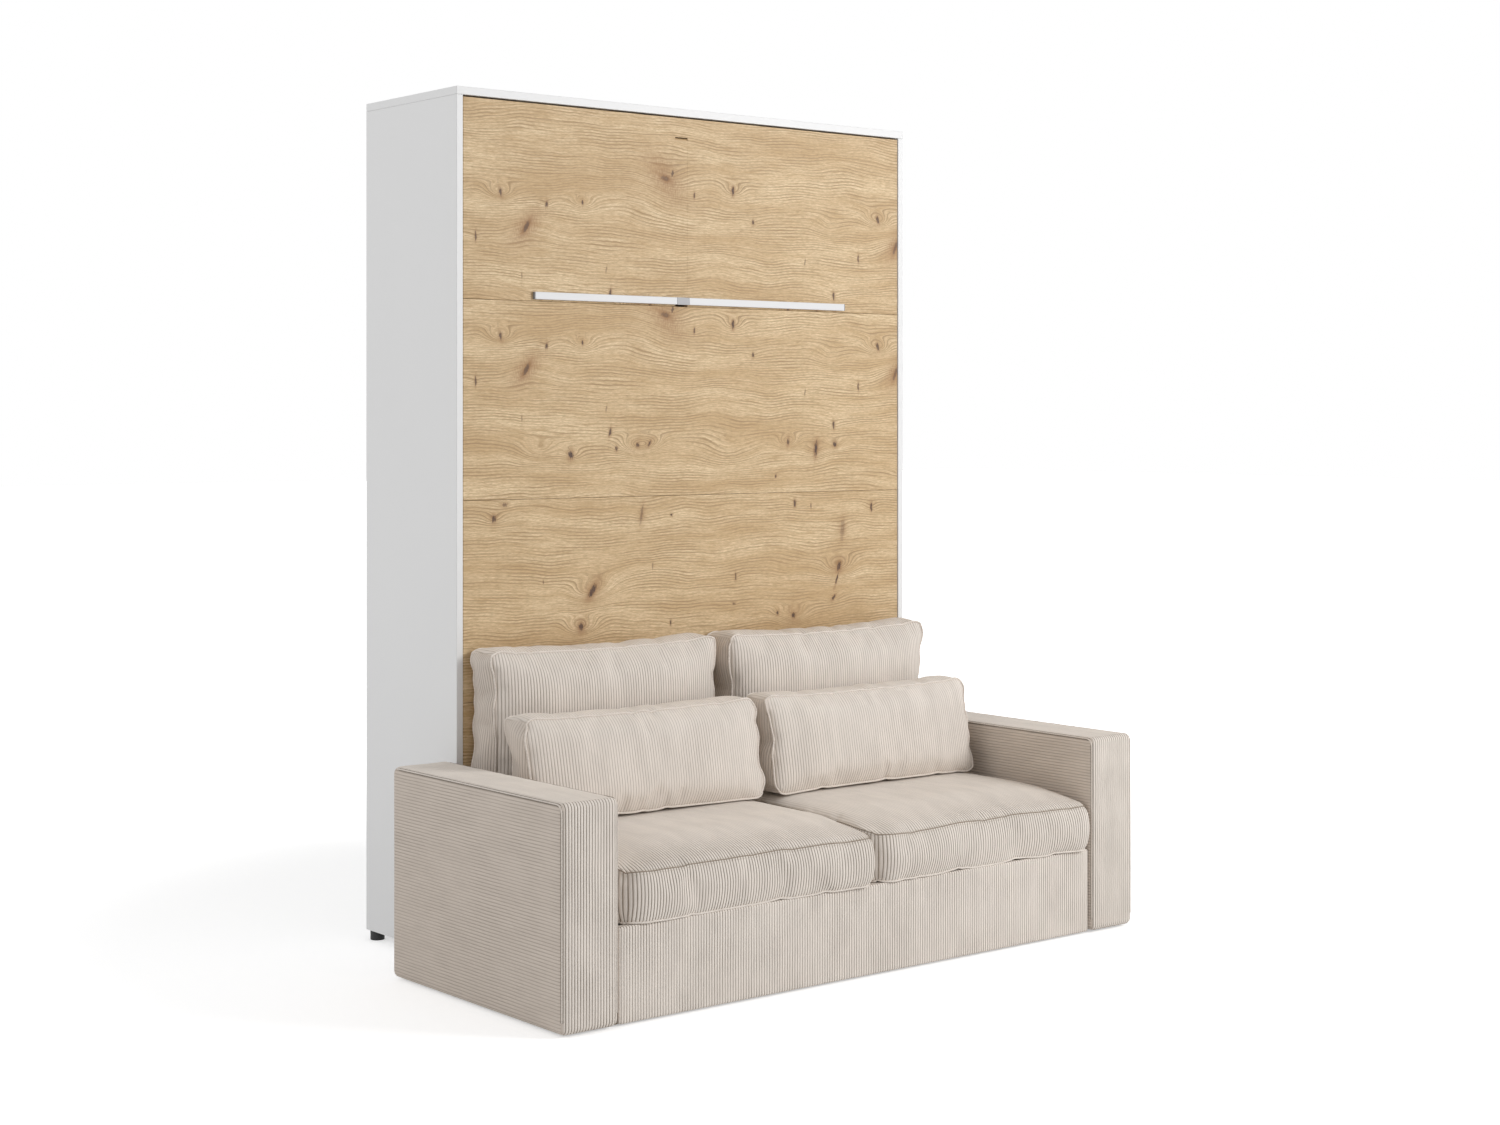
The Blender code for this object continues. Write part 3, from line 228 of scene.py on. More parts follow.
class Net:
    """A node tree, with a short call for each kind of node that the finishes use."""

    def __init__(self, tree):
        self.tree = tree

    def add(self, kind, **settings):
        """Add a node and set its options."""
        node = self.tree.nodes.new(kind)
        for key, value in settings.items():
            setattr(node, key, value)
        return node

    def feed(self, socket, value):
        """Link an output to a socket, or set the socket's own value."""
        if isinstance(value, bpy.types.NodeSocket):
            self.tree.links.new(value, socket)
        elif value is not None:
            if socket.type == "RGBA" and len(value) == 3:
                value = (*value, 1.0)
            socket.default_value = value

    def math(self, operation, *values, clamp=False):
        """Work out a number."""
        node = self.add("ShaderNodeMath", operation=operation, use_clamp=clamp)
        for socket, value in zip(node.inputs, values):
            self.feed(socket, value)
        return node.outputs[0]

    def times(self, first, second, clamp=False):
        """Multiply two numbers."""
        return self.math("MULTIPLY", first, second, clamp=clamp)

    def over(self, first, second):
        """Divide a number by another."""
        return self.math("DIVIDE", first, second)

    def plus(self, first, second):
        """Add two numbers."""
        return self.math("ADD", first, second)

    def minus(self, first, second):
        """Take a number from another."""
        return self.math("SUBTRACT", first, second)

    def vector(self, operation, *values):
        """Work out a vector."""
        node = self.add("ShaderNodeVectorMath", operation=operation)
        for socket, value in zip(node.inputs, values):
            self.feed(socket, value)
        return node.outputs["Value" if operation in ("LENGTH", "DISTANCE") else "Vector"]

    def split(self, vector):
        """Take a vector apart."""
        node = self.add("ShaderNodeSeparateXYZ")
        self.feed(node.inputs[0], vector)
        return node.outputs

    def join(self, x=0.0, y=0.0, z=0.0):
        """Make a vector of three numbers."""
        node = self.add("ShaderNodeCombineXYZ")
        for socket, value in zip(node.inputs, (x, y, z)):
            self.feed(socket, value)
        return node.outputs[0]

    def noise(self, vector, scale=1.0, detail=2.0, rough=0.5):
        """Read soft noise from 0 to 1."""
        node = self.add("ShaderNodeTexNoise")
        self.feed(node.inputs["Vector"], vector)
        self.feed(node.inputs["Scale"], scale)
        self.feed(node.inputs["Detail"], detail)
        self.feed(node.inputs["Roughness"], rough)
        return node.outputs[0]

    def streaks(self, vector, scales, detail=2.0, rough=0.5):
        """Read noise with a scale of its own along each axis."""
        return self.noise(self.vector("MULTIPLY", vector, scales), 1.0, detail, rough)

    def ramp(self, value, start, end, low=0.0, high=1.0):
        """Turn a range of a number smoothly into another range."""
        node = self.add("ShaderNodeMapRange", interpolation_type="SMOOTHSTEP")
        for socket, entry in zip(node.inputs, (value, start, end, low, high)):
            self.feed(socket, entry)
        return node.outputs[0]

    def mix(self, share, first, second):
        """Mix two colours."""
        node = self.add("ShaderNodeMix", data_type="RGBA")
        self.feed(node.inputs[0], share)
        self.feed(node.inputs[6], first)
        self.feed(node.inputs[7], second)
        return node.outputs[2]

    def place(self, group, **values):
        """Place a shared effect and give it its values."""
        node = self.add("ShaderNodeGroup", node_tree=group)
        for label, value in values.items():
            self.feed(node.inputs[label.replace("_", " ")], value)
        return node.outputs

    def bump(self, height, distance):
        """Turn heights into a normal."""
        node = self.add("ShaderNodeBump")
        self.feed(node.inputs["Distance"], distance)
        self.feed(node.inputs["Height"], height)
        return node.outputs[0]


def effect(name, inputs, outputs, build):
    """Find a shared effect, or build it the first time."""
    group = bpy.data.node_groups.get(name)
    if group:
        return group
    group = bpy.data.node_groups.new(name, "ShaderNodeTree")
    for label, default in inputs.items():
        kind = "NodeSocketVector" if isinstance(default, tuple) else "NodeSocketFloat"
        socket = group.interface.new_socket(name=label, in_out="INPUT", socket_type=kind)
        socket.default_value = default
    for label in outputs:
        group.interface.new_socket(name=label, in_out="OUTPUT", socket_type="NodeSocketFloat")
    net = Net(group)
    start = net.add("NodeGroupInput")
    end = net.add("NodeGroupOutput")
    for label, value in build(net, start.outputs).items():
        net.feed(end.inputs[label], value)
    return group


def speckle_effect():
    """Fine grain and slow drift, for paint, plastic, laminate and metal."""
    def build(net, given):
        marks = net.streaks(given["Vector"], (6.0, 6.0, 160.0), 4.0, 0.6)
        return {"Fine": net.noise(given["Vector"], given["Scale"], 3.0, 0.6),
                "Drift": net.noise(given["Vector"], 3.5, 2.0),
                "Marks": net.ramp(marks, 0.62, 0.74)}
    return effect("speckle", {"Vector": ORIGIN, "Scale": 900.0}, ("Fine", "Drift", "Marks"), build)


def rib_effect():
    """Corduroy ribs along V of a UV map in metres."""
    def build(net, given):
        place = given["Vector"]
        bend = net.times(net.minus(net.noise(place, 9.0, 2.0), 0.5), given["Waviness"])
        phase = net.over(net.plus(net.split(place)[0], bend), given["Pitch"])
        arch = net.math("ABSOLUTE", net.math("SINE", net.times(phase, math.pi)))
        rows = net.add("ShaderNodeTexWhiteNoise", noise_dimensions="1D")
        net.feed(rows.inputs["W"], net.math("FLOOR", phase))
        return {"Height": net.math("POWER", arch, 0.55),
                "Groove": net.ramp(arch, 0.05, 0.68, 1.0, 0.0),
                "Fibre": net.streaks(place, (1800.0, 420.0, 1.0), 2.0, 0.7),
                "Brushed": net.streaks(place, (22.0, 7.0, 1.0), 3.0, 0.6),
                "Row": rows.outputs["Value"]}
    return effect("corduroy ribs", {"Vector": ORIGIN, "Pitch": 0.010, "Waviness": 0.002},
                  ("Height", "Groove", "Fibre", "Brushed", "Row"), build)


def knot_effect():
    """One knot: how far the grain swells round it, its dark core and its halo."""
    def build(net, given):
        # A tiny term makes each knot wait for the one before, so that few values are held at once.
        after = net.times(given["Swell In"], 0.0000001)
        place = net.vector("ADD", given["Vector"], net.join(after))
        x, _, z = net.split(net.vector("SUBTRACT", place, given["Centre"]))
        straight = net.minus(x, net.times(z, given["Lean"]))
        reach = given["Reach"]

        def distance(wide, tall):
            return net.vector("LENGTH", net.join(net.over(straight, wide), 0.0, net.over(z, tall)))

        def bell(wide, tall):
            fall = net.math("POWER", distance(wide, tall), 2.0)
            return net.math("EXPONENT", net.times(fall, -1.0))
        far = net.plus(distance(given["Half Width"], given["Half Height"]),
                       net.times(net.minus(given["Ragged"], 0.5), 2.4))
        swell = bell(reach, net.times(reach, 0.52))
        core = net.times(net.ramp(far, 0.62, 1.08, 1.0, 0.0), given["Darkness"])
        ring = net.times(net.ramp(far, 0.6, 2.4, 0.7, 0.0), given["Darkness"])
        smear = net.times(bell(net.times(reach, 0.55), net.times(reach, 0.66)),
                          net.ramp(given["Ragged"], 0.25, 0.75, 0.45, 1.3))
        halo = net.math("MULTIPLY_ADD", smear, given["Stain"], ring)
        return {"Swell": net.math("MULTIPLY_ADD", swell, given["Rings"], given["Swell In"]),
                "Core": net.math("MAXIMUM", core, given["Core In"]),
                "Halo": net.math("MAXIMUM", halo, given["Halo In"])}
    given = {"Vector": ORIGIN, "Centre": ORIGIN, "Half Width": 0.01, "Half Height": 0.01,
             "Lean": 0.0, "Rings": 3.0, "Reach": 0.05, "Darkness": 1.0, "Stain": 0.0,
             "Ragged": 0.5, "Swell In": 0.0, "Core In": 0.0, "Halo In": 0.0}
    return effect("knot", given, ("Swell", "Core", "Halo"), build)


def grain_effect():
    """Wood grain that runs along X: ring lines, fine pores and slow bands of tone."""
    def build(net, given):
        place = given["Vector"]
        x, _, z = net.split(place)
        roll = net.minus(net.streaks(place, (3.0, 1.0, 4.5)), 0.5)
        ripple = net.minus(net.streaks(place, (16.0, 1.0, 30.0)), 0.5)
        phase = net.plus(net.over(z, given["Step"]), given["Swell"])
        phase = net.math("MULTIPLY_ADD", roll, given["Roll"], phase)
        phase = net.math("MULTIPLY_ADD", ripple, 0.45, phase)
        saw = net.math("FRACT", phase)
        line = net.times(net.ramp(saw, 0.15, 0.86), net.ramp(saw, 0.86, 1.0, 1.0, 0.0))

        def along(run, across, detail, rough=0.5):
            follow = net.join(net.times(x, run), 0.0, net.times(phase, across))
            return net.noise(follow, 1.0, detail, rough)
        fade = net.ramp(along(5.0, 0.33, 2.0), 0.36, 0.64, 0.12, 1.0)
        return {"Line": net.times(net.math("POWER", line, 2.2), fade),
                "Streak": along(13.0, 3.6, 4.0, 0.65),
                "Pores": net.ramp(along(55.0, 9.0, 2.0, 0.6), 0.57, 0.70),
                "Band": along(1.6, 0.13, 3.0, 0.6),
                "Fibre": net.streaks(place, (60.0, 1.0, 460.0), 2.0, 0.7)}
    return effect("wood grain", {"Vector": ORIGIN, "Step": 0.008, "Swell": 0.0, "Roll": 9.0},
                  ("Line", "Streak", "Pores", "Band", "Fibre"), build)


def finish(name, build, **uniform):
    """Find a finish, or make its material the first time. Uniform values go on the shader."""
    made = bpy.data.materials.get(name + "_finish")
    if made:
        return made
    made = bpy.data.materials.new(name + "_finish")
    made.use_nodes = True
    net = Net(made.node_tree)
    shader = made.node_tree.nodes["Principled BSDF"]
    for label, value in uniform.items():
        net.feed(shader.inputs[label.replace("_", " ")], value)
    for label, value in build(net).items():
        net.feed(shader.inputs[label], value)
    return made


def here(net):
    """The Object coordinates of a piece, in metres."""
    return net.add("ShaderNodeTexCoord").outputs["Object"]


def tinted(colour, factor):
    """Darken or lighten a colour."""
    return tuple(min(1.0, channel * factor) for channel in colour)


def speckled(name, colour, rough, tone, peel, scale, **uniform):
    """A coated, moulded or plated finish with fine grain, drift and light marks."""
    def build(net):
        marks = net.place(speckle_effect(), Vector=here(net), Scale=scale)
        base = net.mix(marks["Drift"], tinted(colour, 1 - tone), tinted(colour, 1 + tone))
        base = net.mix(net.times(marks["Fine"], 0.25), base, tinted(colour, 0.9))
        level = net.ramp(marks["Fine"], 0.2, 0.8, rough - 0.06, rough + 0.06)
        level = net.math("MULTIPLY_ADD", marks["Marks"], 0.05, level)
        return {"Base Color": base, "Roughness": level, "Normal": net.bump(marks["Fine"], peel)}
    return finish(name, build, **uniform)


def steel_finish(colours):
    """Zinc-plated steel."""
    return speckled("zinc_steel", colours.steel, rough=0.34, tone=0.08, peel=0.00003, scale=1300.0,
                    Metallic=1.0)


def black_finish():
    """Black moulded plastic."""
    return speckled("black_plastic", display(28, 28, 29), rough=0.48, tone=0.10, peel=0.00006,
                    scale=1600.0)


def laminate_finish(colours):
    """White laminate with a faint pearl and the thin joint of its edge band."""
    white = colours.laminate
    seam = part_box("side_panel_left")[0].y + EDGE_BAND

    def build(net):
        place = here(net)
        marks = net.place(speckle_effect(), Vector=place, Scale=1400.0)
        off = net.math("ABSOLUTE", net.minus(net.split(place)[1], seam))
        joint = net.ramp(off, 0.0002, 0.0007, 1.0, 0.0)
        base = net.mix(marks["Drift"], tinted(white, 0.985), tinted(white, 1.01))
        base = net.mix(net.times(joint, 0.35), base, tinted(white, 0.55))
        height = net.minus(net.times(marks["Fine"], 0.3), joint)
        return {"Base Color": base, "Roughness": net.ramp(marks["Fine"], 0.2, 0.8, 0.38, 0.50),
                "Normal": net.bump(height, 0.00006)}
    return finish("white_laminate", build, IOR=1.45)


def oak_finish(colours, number):
    """The oak decor of a board, counted from the top."""
    rise, knots = BOARDS[number - 1]
    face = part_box("front_board_1")[0].y
    light, dark = colours.oak_light, colours.oak_dark
    stained = (dark[0] * 0.70, dark[1] * 0.56, dark[2] * 0.46)
    brown = (light[0] * 0.77, light[1] * 0.68, light[2] * 0.57)

    def build(net):
        place = net.vector("ADD", here(net), (0.0, 0.0, rise))
        wander = net.streaks(place, (28.0, 1.0, 42.0))
        ragged = net.streaks(place, (420.0, 1.0, 80.0))
        swell, core, halo = 0.0, 0.0, 0.0
        for x, z, wide, tall, lean, rings, reach, darkness, stain in knots:
            knot = net.place(knot_effect(), Vector=place, Centre=(x, face, z),
                             Half_Width=max(wide, KNOT_LEAST), Half_Height=max(tall, KNOT_LEAST),
                             Lean=lean, Rings=rings, Reach=reach, Darkness=darkness, Stain=stain,
                             Ragged=ragged, Swell_In=swell, Core_In=core, Halo_In=halo)
            swell, core, halo = knot["Swell"], knot["Core"], knot["Halo"]
        swell = net.math("MULTIPLY_ADD", net.minus(wander, 0.5), 0.3, swell)
        grain = net.place(grain_effect(), Vector=place, Step=GRAIN_STEP, Swell=swell, Roll=9.0)
        base = net.mix(net.ramp(grain["Band"], 0.28, 0.70), brown, tinted(light, 1.08))
        base = net.mix(net.ramp(grain["Streak"], 0.38, 0.70, 0.0, 0.70), base, dark)
        base = net.mix(net.ramp(grain["Fibre"], 0.35, 0.65, 0.0, 0.46), base, tinted(dark, 0.86))
        base = net.mix(net.times(grain["Line"], 0.92), base, tinted(dark, 0.74))
        base = net.mix(net.times(grain["Pores"], 0.60), base, tinted(dark, 0.58))
        base = net.mix(net.times(halo, 0.72, clamp=True), base, stained)
        base = net.mix(net.times(core, 0.92, clamp=True), base, colours.oak_knot)
        height = net.plus(net.times(grain["Line"], -0.5), net.times(grain["Pores"], -0.7))
        return {"Base Color": base, "Roughness": net.ramp(grain["Streak"], 0.3, 0.7, 0.48, 0.60),
                "Normal": net.bump(net.minus(height, core), 0.00012)}
    return finish("oak_board_%d" % number, build, IOR=1.45)


def plain_wood(name, colour, step):
    """A plain board or laminated slat with its grain along X."""
    def build(net):
        grain = net.place(grain_effect(), Vector=here(net), Step=step, Roll=14.0)
        base = net.mix(grain["Band"], tinted(colour, 0.92), tinted(colour, 1.06))
        base = net.mix(net.times(grain["Line"], 0.4), base, tinted(colour, 0.66))
        base = net.mix(net.times(grain["Pores"], 0.25), base, tinted(colour, 0.5))
        return {"Base Color": base, "Roughness": net.ramp(grain["Streak"], 0.3, 0.7, 0.45, 0.62),
                "Normal": net.bump(net.times(grain["Line"], -1.0), 0.0001)}
    return finish(name, build)


def corduroy_finish(colours, sizes):
    """Brushed beige corduroy with deep ribs along V of the piece's own UV map."""
    cloth = colours.corduroy
    # A darker copy of the cloth, for the painted shade on sides that face away from the lamps.
    shaded = (cloth[0] * 0.55, cloth[1] * 0.47, cloth[2] * 0.40)

    def build(net):
        place = net.add("ShaderNodeUVMap", uv_map="UVMap").outputs["UV"]
        ribs = net.place(rib_effect(), Vector=place, Pitch=sizes.rib_pitch)
        nap = net.add("ShaderNodeAttribute", attribute_name="nap").outputs["Fac"]
        painted_side_shade = net.add("ShaderNodeAttribute", attribute_name="painted_side_shade").outputs["Fac"]
        nap = net.times(nap, net.ramp(net.noise(here(net), 7.0, 3.0), 0.35, 0.65, 0.72, 1.0))
        base = net.mix(net.ramp(ribs["Brushed"], 0.3, 0.7),
                       tinted(cloth, 0.94), tinted(cloth, 1.05))
        base = net.mix(net.times(ribs["Row"], 0.12), base, tinted(cloth, 0.8))
        base = net.mix(net.ramp(ribs["Fibre"], 0.3, 0.7, 0.0, 0.12), base, tinted(cloth, 0.7))
        # Painted shade: the flanks of the arms and the sides of the cushions are darkened towards
        # the shaded colour.
        base = net.mix(net.times(painted_side_shade, 0.42), base, shaded)
        # The grooves take the groove colour: partly the ground's own colour, partly painted shade
        # in the grooves.
        base = net.mix(net.times(ribs["Groove"], nap), base, colours.groove)
        height = net.times(net.math("MULTIPLY_ADD", ribs["Fibre"], 0.05, ribs["Height"]), nap)
        return {"Base Color": base, "Roughness": net.ramp(ribs["Brushed"], 0.3, 0.7, 0.82, 0.95),
                "Normal": net.bump(height, sizes.rib_depth)}
    return finish("beige_corduroy", build, **CLOTH_SHADER)


def welt_finish(colours):
    """Corduroy cut on the bias and wrapped round a cord."""
    cloth = colours.corduroy

    def build(net):
        place = here(net)
        nap = net.noise(place, 700.0, 3.0, 0.7)
        twist = net.streaks(place, (260.0, 260.0, 260.0), 1.0)
        base = net.mix(net.noise(place, 30.0, 2.0), tinted(cloth, 0.92), tinted(cloth, 1.05))
        base = net.mix(net.ramp(twist, 0.42, 0.6, 0.0, 0.16), base, colours.groove)
        height = net.plus(net.times(nap, 0.3), twist)
        return {"Base Color": base, "Roughness": net.ramp(nap, 0.3, 0.7, 0.84, 0.96),
                "Normal": net.bump(height, 0.0003)}
    return finish("corduroy_welt", build, **CLOTH_SHADER)


def thread_and_shadow_finish(name, colour):
    """Twisted sewing thread; also the thin dark tubes of painted seam shadow."""
    def build(net):
        twist = net.noise(here(net), 2600.0, 2.0)
        base = net.mix(twist, tinted(colour, 0.75), tinted(colour, 1.1))
        return {"Base Color": base, "Roughness": net.ramp(twist, 0.3, 0.7, 0.6, 0.8),
                "Normal": net.bump(twist, 0.0002)}
    return finish(name, build)


def cover_finish(colours, sizes):
    """Knitted mattress cover with quilted lozenges on its large faces."""
    low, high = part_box("mattress")
    middle = (low.y + high.y) / 2

    def build(net):
        place = here(net)
        x, y, z = net.split(place)
        lines = []
        for slope in (1.0, -1.0):
            run = net.over(net.math("MULTIPLY_ADD", z, slope, x), sizes.quilt_pitch)
            lines.append(net.math("ABSOLUTE", net.math("SINE", net.times(run, math.pi))))
        face = net.ramp(net.math("ABSOLUTE", net.minus(y, middle)), 0.078, 0.084)
        puff = net.math("POWER", net.math("MAXIMUM", net.times(*lines), 0.0001), 0.4)
        knit = net.streaks(place, (900.0, 900.0, 500.0))
        loops = net.add("ShaderNodeTexVoronoi")
        net.feed(loops.inputs["Vector"], place)
        net.feed(loops.inputs["Scale"], 420.0)
        base = net.mix(knit, tinted(colours.cover, 0.94), tinted(colours.cover, 1.02))
        # Painted shade: the cover darkens along the quilted lines, where it is pulled in.
        seam = net.times(net.ramp(puff, 0.1, 0.45, 1.0, 0.0), face)
        base = net.mix(net.times(seam, 0.4), base, tinted(colours.cover, 0.7))
        height = net.math("MULTIPLY_ADD", loops.outputs["Distance"], -0.05, net.times(puff, face))
        return {"Base Color": base, "Roughness": net.ramp(knit, 0.3, 0.7, 0.8, 0.92),
                "Normal": net.bump(height, 0.006)}
    return finish("mattress_cover", build, Sheen_Weight=0.2, Specular_IOR_Level=0.25)


def strap_finish():
    """Black elastic webbing, woven across its width."""
    def build(net):
        place = here(net)
        weave = net.streaks(place, (700.0, 700.0, 900.0), 1.0)
        rows = net.math("SINE", net.times(net.split(place)[2], 2 * math.pi / 0.0025))
        return {"Base Color": net.mix(weave, display(30, 30, 32), display(70, 70, 74)),
                "Roughness": net.ramp(weave, 0.3, 0.7, 0.7, 0.9),
                "Normal": net.bump(net.math("MULTIPLY_ADD", rows, 0.5, weave), 0.0003)}
    return finish("elastic_strap", build)


def chosen(context):
    """The sizes and the colours that are set on the scene."""
    return context.scene.wall_bed_sizes, context.scene.wall_bed_colours


def both(name):
    """The names of a left and a right node."""
    return name + "_left", name + "_right"


def paint(material, *names):
    """Give CAD nodes a finish."""
    for name in names:
        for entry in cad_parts[name].material_slots:
            entry.material = material


def add_piece(name, work, material, body=None, smooth=True):
    """Make an object of a bmesh, at the origin, and let it ride on a body."""
    if not work.verts:
        raise RuntimeError(name + " came out empty")
    mesh = bpy.data.meshes.new(name)
    work.to_mesh(mesh)
    work.free()
    return add_mesh(name, mesh, material, body, smooth)


def add_mesh(name, mesh, material, body=None, smooth=True):
    """Make an object of a mesh, at the origin, and let it ride on a body."""
    mesh.materials.clear()
    mesh.materials.append(material)
    piece = bpy.data.objects.new(name, mesh)
    bpy.context.scene.collection.objects.link(piece)
    if smooth:
        mesh.shade_smooth()
    if body:
        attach(piece, body)
    return piece


def settle(piece):
    """Turn a piece's modifiers into its mesh."""
    bpy.context.view_layer.update()
    graph = bpy.context.evaluated_depsgraph_get()
    mesh = bpy.data.meshes.new_from_object(piece.evaluated_get(graph), depsgraph=graph)
    old = piece.data
    piece.modifiers.clear()
    piece.data = mesh
    bpy.data.meshes.remove(old)
    return piece


def extrude(work, rim, vec):
    """Turn the outline of a plate into a solid."""
    face = work.faces.new([work.verts.new(spot) for spot in rim])
    made = bmesh.ops.extrude_face_region(work, geom=[face])
    moved = [g for g in made["geom"] if isinstance(g, bmesh.types.BMVert)]
    bmesh.ops.translate(work, verts=moved, vec=vec)
    bmesh.ops.recalc_face_normals(work, faces=work.faces)


def add_block(work, size, place):
    """Add a block of a size at a place."""
    made = bmesh.ops.create_cube(work, size=1)
    bmesh.ops.scale(work, vec=size, verts=made["verts"])
    bmesh.ops.translate(work, vec=place, verts=made["verts"])


def round_edges(work, radius):
    """Round every edge a little."""
    bmesh.ops.bevel(work, geom=work.edges[:], offset=radius, offset_type="OFFSET", segments=2,
                    profile=0.5, affect="EDGES", clamp_overlap=True, material=-1)


def grid_block(cells):
    """A cube of side 2, cut into cells along each axis."""
    work = bmesh.new()
    bmesh.ops.create_cube(work, size=2)
    for axis, count in enumerate(cells):
        along = [e for e in work.edges
                 if abs(e.verts[0].co[axis] - e.verts[1].co[axis]) > abs(e.verts[0].co[axis])]
        bmesh.ops.subdivide_edges(work, edges=along, cuts=count - 1, use_grid_fill=True)
    work.normal_update()
    return work


def shape_grid(work, place, pile):
    """Move a cut cube to its shape, with a UV map in metres whose V runs along the ribs.

    The pile gives, for a point of the cube, how strongly the ribs stand out there and how
    much painted shade darkens the cloth there. Ribs run upright on the front and on the ends
    of X, and from front to back on the top.
    """
    layer = work.loops.layers.uv.new("UVMap")
    depth = work.verts.layers.float.new("nap")
    side_shade_layer = work.verts.layers.float.new("painted_side_shade")
    work.faces.index_update()
    ends = {face.index for face in work.faces if abs(face.normal.x) > 0.5}
    for vert in work.verts:
        # The second value is painted shade, kept on each point.
        vert[depth], vert[side_shade_layer] = pile(*vert.co)
        vert.co = place(*vert.co)
    work.normal_update()
    for face in work.faces:
        upright = abs(face.normal.y) > abs(face.normal.z)
        for loop in face.loops:
            x, y, z = loop.vert.co
            loop[layer].uv = (y, z) if face.index in ends else (x, z if upright else y)


def even_pile(u, v, w):
    """Ribs that stand out the same everywhere."""
    return 1.0, 0.0


def at_end(value):
    """Tell whether a cube coordinate lies at its end."""
    return abs(abs(value) - 1) < WELD


def round_corner(first, second, half_first, half_second, radius):
    """Round the corner of a rectangle: a square corner's points go onto its circle."""
    over_first = abs(first) - (half_first - radius)
    over_second = abs(second) - (half_second - radius)
    if over_first <= 0 or over_second <= 0:
        return first, second
    pull = max(over_first, over_second) / math.hypot(over_first, over_second)
    return (math.copysign(half_first - radius + over_first * pull, first),
            math.copysign(half_second - radius + over_second * pull, second))


def rumple(spot, scale, seed):
    """Soft, repeatable unevenness from -1 to 1."""
    return noise.noise(Vector(spot) * scale + Vector((seed, seed * 1.7, seed * 0.3)))


def cushion_mesh(name, cells, place, material, pile):
    """Shape a cushion and mark the seams round its two faces."""
    work = grid_block(cells)
    crease = work.edges.layers.float.new("crease_edge")
    for edge in work.edges:
        if (all(at_end(v.co.z) and (at_end(v.co.x) or at_end(v.co.y)) for v in edge.verts)
                and abs(edge.verts[0].co.z - edge.verts[1].co.z) < WELD):
            edge.seam = True
            edge[crease] = SEAM_CREASE
    shape_grid(work, place, pile)
    return add_piece(name, work, material)


def stuff(piece, sizes, floor, travel, shrink):
    """Press a cushion outwards from inside, held at its seams, and cap how far it moves."""
    mesh = piece.data
    rest = [v.co.copy() for v in mesh.vertices]
    held = piece.vertex_groups.new(name="seams")
    marked = {i for edge in mesh.edges if edge.use_seam for i in edge.vertices}
    held.add(sorted(marked), SEAM_HOLD, "REPLACE")
    cloth = piece.modifiers.new("stuffing", "CLOTH")
    for key, value in (("quality", 5), ("mass", 0.25), ("tension_stiffness", 18),
                       ("compression_stiffness", 18), ("shear_stiffness", 6),
                       ("bending_stiffness", 0.35), ("shrink_min", shrink), ("use_pressure", True),
                       ("uniform_pressure_force", sizes.pressure), ("vertex_group_mass", "seams"),
                       ("pin_stiffness", 0.3)):
        setattr(cloth.settings, key, value)
    cloth.settings.effector_weights.gravity = 0.0
    cloth.point_cache.frame_start = 1
    cloth.point_cache.frame_end = sizes.steps
    scene = bpy.context.scene
    for step in range(1, sizes.steps + 1):
        scene.frame_set(step)
    graph = bpy.context.evaluated_depsgraph_get()
    moved = [v.co.copy() for v in piece.evaluated_get(graph).data.vertices]
    piece.modifiers.remove(cloth)
    piece.vertex_groups.remove(held)
    scene.frame_set(1)
    for vert, start, now in zip(mesh.vertices, rest, moved):
        move = now - start
        if move.length > travel:
            move *= travel / move.length
        vert.co = start + move
        vert.co.z = max(vert.co.z, floor)


def hold(piece, low, high, rear=math.inf, top=math.inf):
    """Keep a cushion inside the space that its neighbours leave."""
    for vert in piece.data.vertices:
        x, y, z = vert.co
        vert.co = (min(max(x, low.x), high.x), min(y, rear), min(z, top))


def soften(piece):
    """Subdivide a piece once and keep the result."""
    soft = piece.modifiers.new("soft", "SUBSURF")
    soft.levels = soft.render_levels = 1
    return settle(piece)


def stand_for(piece, node, body):
    """Let a padded piece ride on a body in place of its CAD node."""
    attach(piece, body)
    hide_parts(node)


def seam_loops(mesh):
    """List the seams of a mesh, each as the points of a closed loop in order, with normals."""
    links = {}
    for edge in mesh.edges:
        if edge.use_seam:
            for a, b in (edge.vertices, reversed(edge.vertices)):
                links.setdefault(a, []).append(b)
    loops = []
    left = set(links)
    while left:
        order, nearby = [], [min(left)]
        while nearby:
            order.append(nearby[0])
            left.discard(nearby[0])
            nearby = [i for i in links[nearby[0]] if i in left]
        loops.append([(mesh.vertices[i].co.copy(), mesh.vertices[i].normal.copy()) for i in order])
    return loops


def middle_of(seam):
    """Find the middle of a seam."""
    return sum((spot for spot, normal in seam), Vector()) / len(seam)


def two_seams(piece, axis):
    """The two seams of a cushion, in order along an axis."""
    first, second = sorted(seam_loops(piece.data), key=lambda seam: middle_of(seam)[axis])
    return first, second


